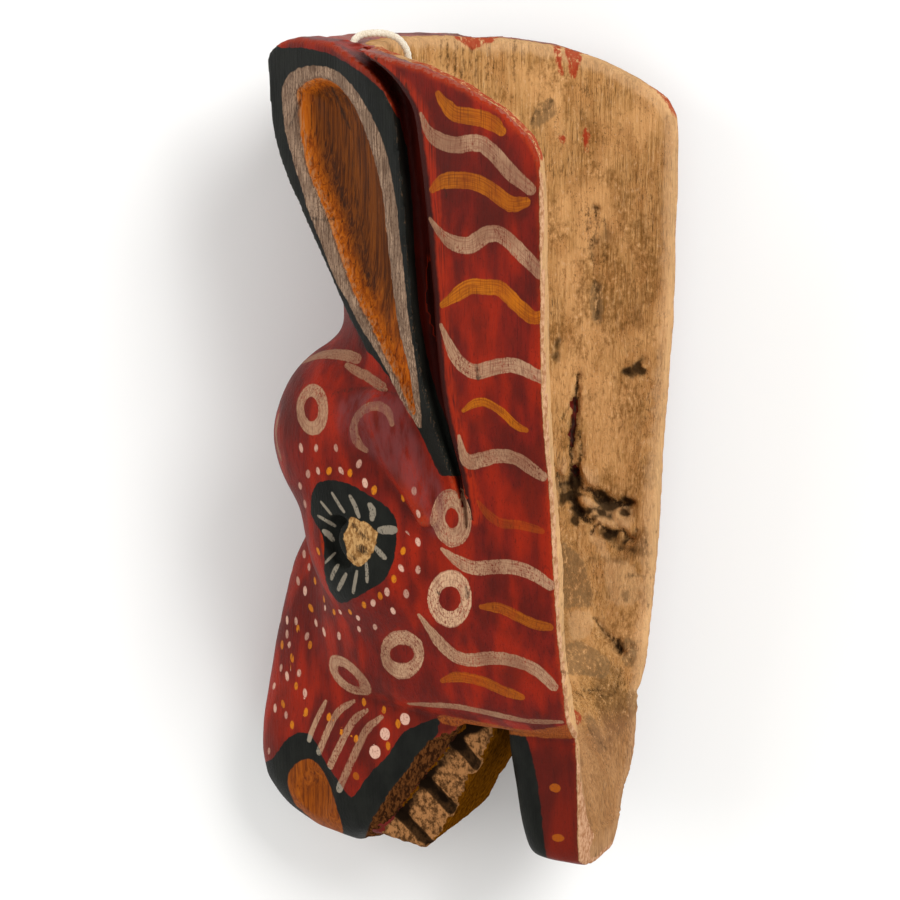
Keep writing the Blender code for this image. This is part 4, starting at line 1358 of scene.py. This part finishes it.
def wood_paint():
    g = Graph("painted_wood")
    P = g.vector("place")
    px, py, pz = g.split("place")
    black, ear_white, ear_scoop = g.split("areas_a")
    nostril, smear, raw = g.split("areas_b")
    raw_eye, tooth, back_face = g.split("areas_c")
    groove, lip_under, top_face = g.split("areas_d")
    rim, ledge, slots = g.split("areas_e")
    stain, grey, pales = g.split("areas_f")
    edge, edge_wide, jaw_tip = g.split("wear_shade_and_highlight")
    small_cut, big_cut, tear = g.split("cells")

    # noises shared by the layers
    grain = g.noise(P, (1.1, 1.1, 34), 4, 0.6, 0.6)
    grain_fine = g.noise(P, (0.42, 0.42, 9), 3, 0.6)
    cloud = g.noise(P, (22, 22, 34), 3, 0.55)
    patch = g.noise(P, (9, 9, 14), 3, 0.55)
    speck = g.noise(P, (0.7, 0.7, 1.1), 2, 0.6)
    mottle = g.noise(P, (1.7, 1.7, 2.8), 3, 0.7)
    wobble = g.noise(P, (2.6, 2.6, 3.4), 2, 0.5)
    bumpy = g.sub(wobble, 0.5)

    # raw wood: tan with browner patches, specks, and dirt along the grain
    wood = g.ramp(grain, [(0.26, srgb(134, 94, 50)), (0.40, srgb(172, 126, 74)), (0.56, srgb(194, 146, 92)), (0.78, srgb(208, 164, 114))])
    wood = g.mix(g.mul(g.step(patch, 0.40, 0.72), 0.75), wood, srgb(176, 124, 72))
    wood = g.mix(g.mul(g.step(cloud, 0.52, 0.36), 0.6), wood, srgb(216, 164, 108))
    wood = g.mix(g.mul(g.step(mottle, 0.54, 0.68), 0.5), wood, srgb(112, 76, 40))
    wood = g.mix(g.mul(g.step(mottle, 0.42, 0.30), 0.4), wood, srgb(222, 180, 136))
    dirt = g.mul(g.step(grain_fine, 0.52, 0.66), g.step(cloud, 0.42, 0.62))
    wood = g.mix(g.mul(dirt, 0.8), wood, srgb(72, 50, 26))
    soiled = g.mul(g.step(g.noise(P, (15, 15, 24), 4, 0.6), 0.50, 0.62), g.step(mottle, 0.36, 0.60))
    wood = g.mix(g.mul(soiled, 0.55), wood, srgb(114, 76, 34))
    speckled = g.mul(g.step(speck, 0.60, 0.68), g.step(patch, 0.44, 0.60))
    wood = g.mix(g.mul(speckled, 0.65), wood, srgb(70, 48, 26))
    # painted shade: the raw wood is darkened in hollows and creases; painted highlight: it is paler on convex edges
    wood = g.mix(g.mul(g.step(edge_wide, -0.02, -0.35), 0.75), wood, srgb(58, 40, 22))
    wood = g.mix(g.mul(g.step(edge_wide, 0.05, 0.35), 0.35), wood, srgb(226, 186, 142))
    # paler facets in the hollow: painted light
    wood = g.mix(g.mul(g.step(g.add(pales, g.mul(bumpy, 4.0)), -0.8, 1.2), 0.35), wood, srgb(214, 174, 128))
    # painted shade: darker lines along the edges between the gouge facets
    low_down = g.step(g.math("MULTIPLY_ADD", patch, 24.0, pz), -14.0, -30.0)
    wood = g.mix(g.mul(g.mul(g.step(big_cut, 0.78, 0.93), low_down), g.mul(g.step(mottle, 0.30, 0.52), 0.65)), wood, srgb(98, 68, 38))
    wood = g.mix(g.mul(g.step(small_cut, 0.80, 0.93), g.mul(g.step(patch, 0.42, 0.58), 0.35)), wood, srgb(112, 78, 44))
    # painted shade in the low places of the torn patch
    wood = g.mix(g.mul(g.step(tear, 0.05, 0.75), 0.9), wood, srgb(40, 28, 16))
    # greyer patches: partly grime, partly painted shade on the facets
    greyed = g.mul(g.step(g.add(grey, g.mul(bumpy, 3.0)), -0.4, 1.0), g.step(mottle, 0.30, 0.52))
    wood = g.mix(g.mul(greyed, 0.72), wood, srgb(124, 96, 64))
    red_run = g.mul(g.step(g.add(stain, g.mul(bumpy, 3.0)), -0.4, 0.6), g.step(mottle, 0.32, 0.50))
    wood = g.mix(g.mul(red_run, 0.85), wood, srgb(158, 44, 26))
    pinkish = g.step(g.math("MULTIPLY_ADD", cloud, 14.0, pz), -98.0, -112.0)
    wood = g.mix(g.mul(pinkish, 0.5), wood, srgb(142, 98, 68))
    wood = g.mix(g.mul(pinkish, g.mul(g.step(grain_fine, 0.50, 0.62), 0.6)), wood, srgb(112, 84, 60))

    # red paint
    deep = g.mix(g.step(patch, 0.35, 0.7), srgb(88, 20, 12), srgb(112, 24, 14))
    deep = g.mix(g.mul(g.step(grain, 0.52, 0.72), 0.7), deep, srgb(78, 16, 12))
    bright = g.step(g.noise(P, (12, 12, 46), 2, 0.5), 0.46, 0.66)
    red = g.mix(g.mul(bright, 0.8), deep, srgb(148, 32, 8))
    # painted highlight: the red is brighter on convex edges
    red = g.mix(g.mul(g.step(edge, 0.08, 0.45), 0.6), red, srgb(164, 50, 14))
    red = g.mix(g.mul(g.step(cloud, 0.50, 0.66), 0.5), red, srgb(66, 18, 10))
    red = g.mix(g.mul(g.step(mottle, 0.58, 0.70), 0.35), red, srgb(60, 16, 10))
    red = g.mix(g.mul(g.step(grain_fine, 0.57, 0.72), 0.55), red, srgb(54, 12, 8))
    red = g.mix(g.mul(g.step(speck, 0.64, 0.72), 0.45), red, srgb(36, 12, 8))
    # painted shade: the red is darker in hollows and creases
    red = g.mix(g.mul(g.step(edge_wide, -0.04, -0.4), 0.75), red, srgb(46, 12, 8))

    col = red
    # beside the ear's groove the red is bright, thinner paint with a painted highlight, and the groove's bottom is
    # painted shadow, nearly black
    beside = g.mul(g.step(g.math("MULTIPLY_ADD", bumpy, 3.0, groove), 8.2, 4.2), g.step(grain, 0.34, 0.52))
    col = g.mix(g.mul(beside, 0.6), col, srgb(166, 42, 8))
    col = g.mix(g.mul(g.step(g.math("MULTIPLY_ADD", bumpy, 1.2, groove), 3.3, 1.7), 0.92), col, srgb(30, 9, 7))
    on_jaw = g.mul(g.step(pz, -104.0, -116.0), g.step(py, -40.0, -34.0))
    col = g.mix(g.mul(on_jaw, 0.6), col, srgb(66, 18, 10))
    paint_edge = g.mul(bumpy, 0.9)

    def brushed(k, u, v):
        """Noise drawn out along a stroke."""
        n = g.node("ShaderNodeCombineXYZ")
        g.put(u, n.inputs[0])
        g.put(v, n.inputs[1])
        g.put(float(3 + 7 * k), n.inputs[2])
        t = g.node("ShaderNodeTexNoise")
        g.tree.links.new(n.outputs[0], t.inputs["Vector"])
        t.inputs["Scale"].default_value = 1.0
        t.inputs["Detail"].default_value = 2.0
        return t.outputs["Fac"]

    def marks_of(kind, k):
        u, v, a = g.split(f"{kind}_{k}_uva")
        w, e, tone = g.split(f"{kind}_{k}_wet")
        past = g.high(0.0, g.mul(a, -1.0))
        out = g.math("SQRT", g.add(g.mul(v, v), g.mul(past, past)))
        rough_edge = g.mul(paint_edge, g.low(1.0, g.mul(w, 0.5)))
        d = g.add(g.sub(w, out), rough_edge)
        cover = g.mul(g.step(d, -0.12, 0.28), g.math("LESS_THAN", e, 1.5))
        cover_at.append(e)
        return cover, brushed(k, g.mul(u, 0.10), g.mul(v, 1.7)), tone, d

    cover_at = []
    for k in range(LAYERS["yellow"]):
        cover, streak, tone, d = marks_of("yellow", k)
        c = g.mix(g.step(streak, 0.35, 0.65), srgb(146, 74, 4), srgb(178, 98, 8))
        c = g.mix(g.mul(g.step(grain_fine, 0.5, 0.66), 0.6), c, srgb(92, 42, 4))
        thin = g.math("MULTIPLY_ADD", g.step(patch, 0.3, 0.8), -0.35, 1.0)
        opacity = g.mul(g.mul(cover, thin), g.step(tone, 0.0, 0.95))
        col = g.mix(opacity, col, c)

    dark = g.mix(g.step(patch, 0.3, 0.7), srgb(15, 16, 13), srgb(26, 27, 23))
    dark = g.mix(g.mul(g.step(grain_fine, 0.58, 0.74), 0.4), dark, srgb(9, 9, 8))
    is_black = g.step(g.add(black, g.mul(bumpy, 1.2)), -0.18, 0.18)
    col = g.mix(is_black, col, dark)
    chip = g.mul(g.step(edge, 0.30, 0.65), g.step(speck, 0.56, 0.66))
    col = g.mix(g.mul(chip, 0.3), col, srgb(124, 92, 64))

    # the ear: white border, then the orange scoop
    pale = g.mix(g.step(grain_fine, 0.38, 0.58), srgb(172, 142, 116), srgb(104, 78, 60))
    pale = g.mix(g.mul(g.step(speck, 0.52, 0.64), 0.65), pale, srgb(70, 46, 34))
    pale = g.mix(g.mul(g.step(patch, 0.45, 0.62), 0.45), pale, srgb(84, 62, 46))
    is_border = g.step(g.add(ear_white, g.mul(bumpy, 1.6)), -0.25, 0.25)
    col = g.mix(g.mul(is_border, 0.93), col, pale)
    ear_grain = g.noise(P, (1.6, 1.6, 42), 4, 0.65, 1.2)
    orange = g.ramp(ear_grain, [(0.30, srgb(92, 38, 4)), (0.42, srgb(146, 68, 6)), (0.56, srgb(182, 92, 10)), (0.76, srgb(204, 118, 26))])
    low_part = g.math("MULTIPLY_ADD", g.sub(g.noise(P, (8, 8, 26), 3, 0.6), 0.5), 60.0, pz)
    heart = g.mul(g.step(ear_scoop, 0.8, 5.5), g.step(low_part, 44, 74))
    orange = g.mix(g.mul(heart, 0.85), orange, g.mix(g.step(ear_grain, 0.4, 0.65), srgb(42, 20, 4), srgb(92, 46, 8)))
    orange = g.mix(g.mul(g.step(g.noise(P, (1.3, 1.3, 30), 3, 0.6), 0.60, 0.68), 0.7), orange, srgb(38, 18, 6))
    is_scoop = g.step(g.add(ear_scoop, g.mul(bumpy, 1.0)), -0.1, 0.5)
    outer_line = g.mul(g.step(ear_scoop, -1.1, -0.3), g.step(wobble, 0.35, 0.6))
    col = g.mix(g.mul(outer_line, 0.55), col, srgb(74, 44, 30))
    col = g.mix(is_scoop, col, orange)
    lip_light = g.mul(g.mul(g.step(ear_scoop, 2.2, 0.9), is_scoop), g.step(grain, 0.45, 0.6))
    col = g.mix(g.mul(lip_light, 0.4), col, srgb(190, 146, 100))

    def white_of(cover, streak, tone, col):
        c = g.mix(g.step(tone, 0.1, 0.95), srgb(134, 94, 68), srgb(202, 163, 128))
        c = g.mix(g.mul(g.step(cloud, 0.46, 0.62), 0.55), c, srgb(120, 78, 56))
        c = g.mix(g.mul(g.step(grain_fine, 0.48, 0.64), 0.6), c, srgb(96, 58, 42))
        c = g.mix(g.mul(g.step(streak, 0.46, 0.64), 0.5), c, srgb(120, 66, 50))
        c = g.mix(g.mul(is_black, 0.7), c, srgb(134, 134, 120))
        worn = g.mul(g.step(speck, 0.52, 0.64), g.step(patch, 0.36, 0.58))
        opacity = g.mul(cover, g.math("MULTIPLY_ADD", worn, -0.75, 0.95))
        return g.mix(opacity, col, c)

    for k in range(LAYERS["white"]):
        cover, streak, tone, d = marks_of("white", k)
        col = white_of(cover, streak, tone, col)
    for k in range(RING_LAYERS):
        u, v, tone = g.split(f"ring_{k}_uvt")
        wu, e, wv = g.split(f"ring_{k}_wet")
        vv = g.mul(v, v)
        square = g.add(g.mul(u, u), vv)
        rho = g.math("SQRT", square)
        part = g.math("DIVIDE", vv, g.high(square, 0.01))
        w = g.blend(part, wu, wv)
        d = g.mul(g.sub(w, g.math("ABSOLUTE", g.sub(rho, 1.0))), 8.0)
        d = g.add(d, g.mul(paint_edge, 1.3))
        cover = g.mul(g.step(d, -0.15, 0.30), g.math("LESS_THAN", e, 0.0))
        streak = brushed(k + 9, g.mul(rho, 9.0), g.mul(part, 1.5))
        col = white_of(cover, streak, tone, col)

    for k in range(DOT_LAYERS):
        u, v, tone = g.split(f"dot_{k}_uvt")
        kind, r, e = g.split(f"dot_{k}_kre")
        rho = g.math("SQRT", g.add(g.mul(u, u), g.mul(v, v)))
        d = g.add(g.mul(g.sub(1.0, rho), g.high(r, 0.8)), g.mul(bumpy, 0.5))
        cover = g.mul(g.step(d, -0.18, 0.22), g.math("LESS_THAN", e, 0.0))
        white_dot = g.mix(g.step(tone, 0.1, 0.95), srgb(150, 104, 88), srgb(214, 172, 150))
        yellow_dot = g.mix(g.step(tone, 0.2, 0.95), srgb(150, 74, 6), srgb(196, 116, 14))
        c = g.mix(g.step(kind, 0.4, 0.6), white_dot, yellow_dot)
        c = g.mix(g.mul(g.step(speck, 0.50, 0.66), 0.5), c, srgb(112, 56, 40))
        col = g.mix(g.mul(cover, 0.92), col, c)

    smeared = g.mul(g.step(smear, -1.5, 3.0), g.step(g.noise(P, (3, 3, 14), 3, 0.6), 0.30, 0.60))
    col = g.mix(g.mul(smeared, 0.6), col, srgb(104, 52, 52))
    in_nostril = g.step(g.add(nostril, g.mul(bumpy, 1.0)), -0.2, 0.3)
    nose_wood = g.ramp(ear_grain, [(0.30, srgb(72, 28, 2)), (0.5, srgb(128, 60, 4)), (0.7, srgb(152, 80, 12))])
    col = g.mix(in_nostril, col, nose_wood)
    col = g.mix(g.mul(g.step(top_face, -0.5, 0.5), g.mul(g.step(mottle, 0.35, 0.6), 0.6)), col, srgb(150, 92, 76))
    strip = g.mix(g.step(grain_fine, 0.4, 0.65), srgb(158, 84, 28), srgb(96, 42, 14))
    col = g.mix(g.mul(g.step(g.add(ledge, bumpy), -0.3, 0.4), 0.8), col, strip)

    # worn and bare places, with painted shade in their hollows
    tan = g.mix(g.step(g.noise(P, (2.4, 2.4, 3.0), 3, 0.7), 0.36, 0.60), srgb(74, 48, 26), srgb(156, 108, 66))
    tan = g.mix(g.mul(g.step(speck, 0.56, 0.66), 0.6), tan, srgb(56, 36, 18))
    # painted shade: the teeth darken in hollows and in the slots between them
    tan = g.mix(g.step(edge_wide, -0.03, -0.3), tan, srgb(24, 15, 9))
    tan = g.mix(g.mul(g.step(slots, 1.1, 0.4), 0.9), tan, srgb(22, 14, 8))
    brown = g.mix(g.step(grain, 0.4, 0.6), srgb(42, 22, 10), srgb(92, 54, 26))
    # painted shade: darker in hollows
    brown = g.mix(g.mul(g.step(edge_wide, -0.02, -0.3), 0.8), brown, srgb(22, 13, 8))
    col = g.mix(g.step(lip_under, -0.3, 0.4), col, brown)
    col = g.mix(g.step(tooth, -0.5, 0.5), col, tan)
    ochre = g.ramp(grain, [(0.30, srgb(46, 24, 2)), (0.48, srgb(86, 48, 4)), (0.7, srgb(116, 70, 10))])
    col = g.mix(g.step(back_face, -0.5, 0.5), col, ochre)
    col = g.mix(g.mul(g.step(g.add(jaw_tip, bumpy), -0.2, 0.5), 0.7), col, srgb(96, 60, 40))
    # the eye's chopped wood, with painted shade in its hollows
    chopped = g.mix(g.step(edge_wide, -0.05, -0.3), g.mix(g.step(mottle, 0.4, 0.6), srgb(184, 142, 90), srgb(132, 92, 48)), srgb(44, 30, 18))
    col = g.mix(g.step(g.add(raw_eye, g.mul(bumpy, 2.0)), -0.2, 0.3), col, chopped)
    bare = g.step(g.add(raw, g.mul(bumpy, 1.1)), -0.25, 0.25)
    col = g.mix(bare, col, wood)
    # the sawn edge is paler wood with a painted highlight
    cream = g.mix(g.step(mottle, 0.40, 0.62), srgb(206, 160, 126), srgb(160, 110, 76))
    col = g.mix(g.mul(g.step(g.add(rim, g.mul(bumpy, 1.2)), -0.3, 0.2), 0.85), col, cream)
    # cracks, cuts and grime, and painted shade in gouges, a crease, the gap behind the ear and the eye's pit
    for k in range(LAYERS["dark"]):
        cover, streak, tone, d = marks_of("dark", k)
        soft = g.mul(g.step(g.add(d, g.mul(g.sub(mottle, 0.5), 5.0)), -0.8, 0.9), g.math("LESS_THAN", d, 30.0))
        soft = g.mul(soft, g.step(cover_at[-1], 2.2, 0.6))
        ragged = g.mul(soft, g.math("MULTIPLY_ADD", g.step(g.add(grain_fine, g.mul(tone, 0.12)), 0.46, 0.60), 0.6, 0.4))
        col = g.mix(g.mul(ragged, g.math("MULTIPLY_ADD", tone, 0.65, 0.25)), col, srgb(34, 22, 13))
    g.put(col, g.bsdf.inputs["Base Color"])

    # surface: paint is smoother than the wood
    painted = g.sub(1.0, bare)
    rough = g.blend(painted, 0.85, g.blend(is_black, 0.50, 0.56))
    rough = g.add(rough, g.mul(g.sub(patch, 0.5), 0.25))
    g.put(rough, g.bsdf.inputs["Roughness"])
    height = g.mul(grain, g.blend(painted, 0.75, 0.30))
    height = g.add(height, g.mul(grain_fine, g.blend(painted, 0.45, 0.12)))
    height = g.add(height, g.mul(mottle, g.blend(painted, 0.55, 0.10)))
    height = g.add(height, g.mul(wobble, 0.18))
    b = g.node("ShaderNodeBump")
    b.inputs["Strength"].default_value = 0.8
    b.inputs["Distance"].default_value = 0.0009
    g.put(height, b.inputs["Height"])
    g.tree.links.new(b.outputs[0], g.bsdf.inputs["Normal"])
    shine = g.mul(painted, g.step(g.high(tooth, lip_under), 0.5, -0.5))
    g.put(g.mul(shine, 0.09), g.bsdf.inputs["Specular IOR Level"])
    return g.mat


# =========================================================================
# The mask as a piece
# =========================================================================
for name, value in attributes.items():
    a = carved.attributes.new(name, "FLOAT_VECTOR", "POINT")
    a.data.foreach_set("vector", np.asarray(value, np.float32).ravel())
carved.vertices.foreach_set("co", to_world(V).astype(np.float32).ravel())
carved.update()
carved.shade_smooth()
carved.set_sharp_from_angle(angle=math.radians(55))
carved.materials.clear()
carved.materials.append(wood_paint())
mask = bpy.data.objects.new("mask_carving", carved)
bpy.context.scene.collection.objects.link(mask)
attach(mask, "root")
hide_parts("mask")


# =========================================================================
# The hanging string and its knot
# =========================================================================
def route(points, step):
    p = np.asarray(points, float)
    p = np.concatenate(([2 * p[0] - p[1]], p, [2 * p[-1] - p[-2]]))
    fine = []
    for a, b, c, d in zip(p, p[1:], p[2:], p[3:]):
        for k in range(24):
            t = k / 24
            fine.append(0.5 * (2 * b + (c - a) * t + (2 * a - 5 * b + 4 * c - d) * t * t
                               + (3 * b - a - 3 * c + d) * t ** 3))
    fine.append(p[-2])
    fine = np.array(fine)
    run = np.concatenate(([0], np.cumsum(np.linalg.norm(np.diff(fine, axis=0), axis=1))))
    n = max(2, round(run[-1] / step))
    s = np.linspace(0, run[-1], n + 1)
    return np.stack([np.interp(s, run, fine[:, k]) for k in range(3)], 1)


def twisted(name, path, radius, strands, pitch, sides=18, closed=False):
    """A laid string: a tube with strands that wind round the path."""
    n = len(path)
    nxt = np.roll(path, -1, 0) if closed else np.vstack((path[1:], 2 * path[-1] - path[-2]))
    prv = np.roll(path, 1, 0) if closed else np.vstack((2 * path[0] - path[1], path[:-1]))
    tan = nxt - prv
    tan /= np.linalg.norm(tan, axis=1)[:, None]
    up = np.array((1.0, 0.02, 0.03))
    verts = []
    run = 0.0
    for k in range(n):
        if k:
            run += np.linalg.norm(path[k] - path[k - 1])
        side = up - (up @ tan[k]) * tan[k]
        side /= np.linalg.norm(side)
        up = side
        other = np.cross(tan[k], side)
        wind = 2 * math.pi * run / pitch
        for j in range(sides):
            a = 2 * math.pi * j / sides
            r = radius * (0.80 + 0.20 * abs(math.cos(strands / 2 * (a - wind))))
            verts.append(path[k] + r * (math.cos(a) * side + math.sin(a) * other))
    faces = []
    last = n if closed else n - 1
    for k in range(last):
        for j in range(sides):
            a, b = k * sides + j, k * sides + (j + 1) % sides
            c, d = ((k + 1) % n) * sides + (j + 1) % sides, ((k + 1) % n) * sides + j
            faces.append((a, b, c, d))
    me = bpy.data.meshes.new(name)
    if not closed:
        faces += [tuple(range(sides))[::-1], tuple((n - 1) * sides + j for j in range(sides))]
    me.from_pydata([tuple(v) for v in verts], [], faces)
    me.update()
    return me


def cotton():
    g = Graph("cotton_string")
    c = g.node("ShaderNodeTexCoord").outputs["Object"]
    fine = g.noise(c, (0.0004, 0.0004, 0.0004), 3, 0.6)
    wide = g.noise(c, (0.006, 0.006, 0.006), 2, 0.5)
    col = g.ramp(fine, [(0.30, srgb(176, 160, 132)), (0.5, srgb(226, 216, 196)), (0.72, srgb(242, 236, 222))])
    col = g.mix(g.mul(g.step(wide, 0.45, 0.7), 0.4), col, srgb(196, 172, 140))
    g.put(col, g.bsdf.inputs["Base Color"])
    g.bsdf.inputs["Roughness"].default_value = 0.92
    g.bsdf.inputs["Sheen Weight"].default_value = 0.25
    b = g.node("ShaderNodeBump")
    b.inputs["Strength"].default_value = 0.6
    b.inputs["Distance"].default_value = 0.0002
    g.put(fine, b.inputs["Height"])
    g.tree.links.new(b.outputs[0], g.bsdf.inputs["Normal"])
    return g.mat


cotton_mat = cotton()
cord_points = route(CORD_RUN, 0.5)
cord_world = to_world(cord_points)
cord_me = twisted("string_loop", cord_world, CORD_DIA / 2 * MM, 3, 0.0062)
cord_me.shade_smooth()
cord_me.materials.append(cotton_mat)
string = bpy.data.objects.new("string_loop", cord_me)
bpy.context.scene.collection.objects.link(string)
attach(string, "root")
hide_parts("hanging_cord")

turns = np.linspace(0, 2 * math.pi, 121)[:-1]
trefoil = np.stack((np.sin(turns) + 2 * np.sin(2 * turns), np.cos(turns) - 2 * np.cos(2 * turns), -1.15 * np.sin(3 * turns)), 1)
knot_line = trefoil * (KNOT_R - 1.45) / 3.0
knot_line = np.stack((knot_line[:, 0] * 0.95, knot_line[:, 2] * 1.6, knot_line[:, 1]), 1) + np.array(KNOT_AT)
knot_me = twisted("string_knot", to_world(knot_line), 1.42 * MM, 3, 0.006, 14, True)
knot_me.shade_smooth()
knot_me.materials.append(cotton_mat)
knot = bpy.data.objects.new("string_knot", knot_me)
bpy.context.scene.collection.objects.link(knot)
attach(knot, "root")
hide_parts("cord_knot")


# =========================================================================
# Floor and light
# =========================================================================
floor_me = bpy.data.meshes.new("floor")
floor_me.from_pydata([(-6, -6, 0), (6, -6, 0), (6, 6, 0), (-6, 6, 0)], [], [(0, 1, 2, 3)])
floor = bpy.data.objects.new("floor", floor_me)
bpy.context.scene.collection.objects.link(floor)
fm = Graph("floor_paper")
fm.bsdf.inputs["Base Color"].default_value = (0.86, 0.86, 0.85, 1)
fm.bsdf.inputs["Roughness"].default_value = 0.9
floor_me.materials.append(fm.mat)

world = bpy.data.worlds.new("soft_room")
world.use_nodes = True
world.node_tree.nodes["Background"].inputs[0].default_value = (1.0, 0.99, 0.97, 1)
world.node_tree.nodes["Background"].inputs[1].default_value = 0.55
bpy.context.scene.world = world


def panel(name, at, aim, size, power, tint=(1, 1, 1)):
    data = bpy.data.lights.new(name, "AREA")
    data.shape = "RECTANGLE"
    data.size, data.size_y = size
    data.energy = power
    data.color = tint
    ob = bpy.data.objects.new(name, data)
    ob.location = at
    ob.rotation_euler = (Vector(aim) - Vector(at)).to_track_quat("-Z", "Y").to_euler()
    bpy.context.scene.collection.objects.link(ob)
    return ob


panel("key", (0.9, 0.9, 1.5), (0, 0, 0.08), (0.9, 0.9), 26)
panel("fill", (-1.3, 0.2, 1.1), (0, 0, 0.08), (1.2, 1.2), 12)
panel("low", (0.3, -1.4, 0.8), (0, 0, 0.08), (1.0, 0.8), 7)
bpy.context.scene.view_settings.view_transform = "Standard"
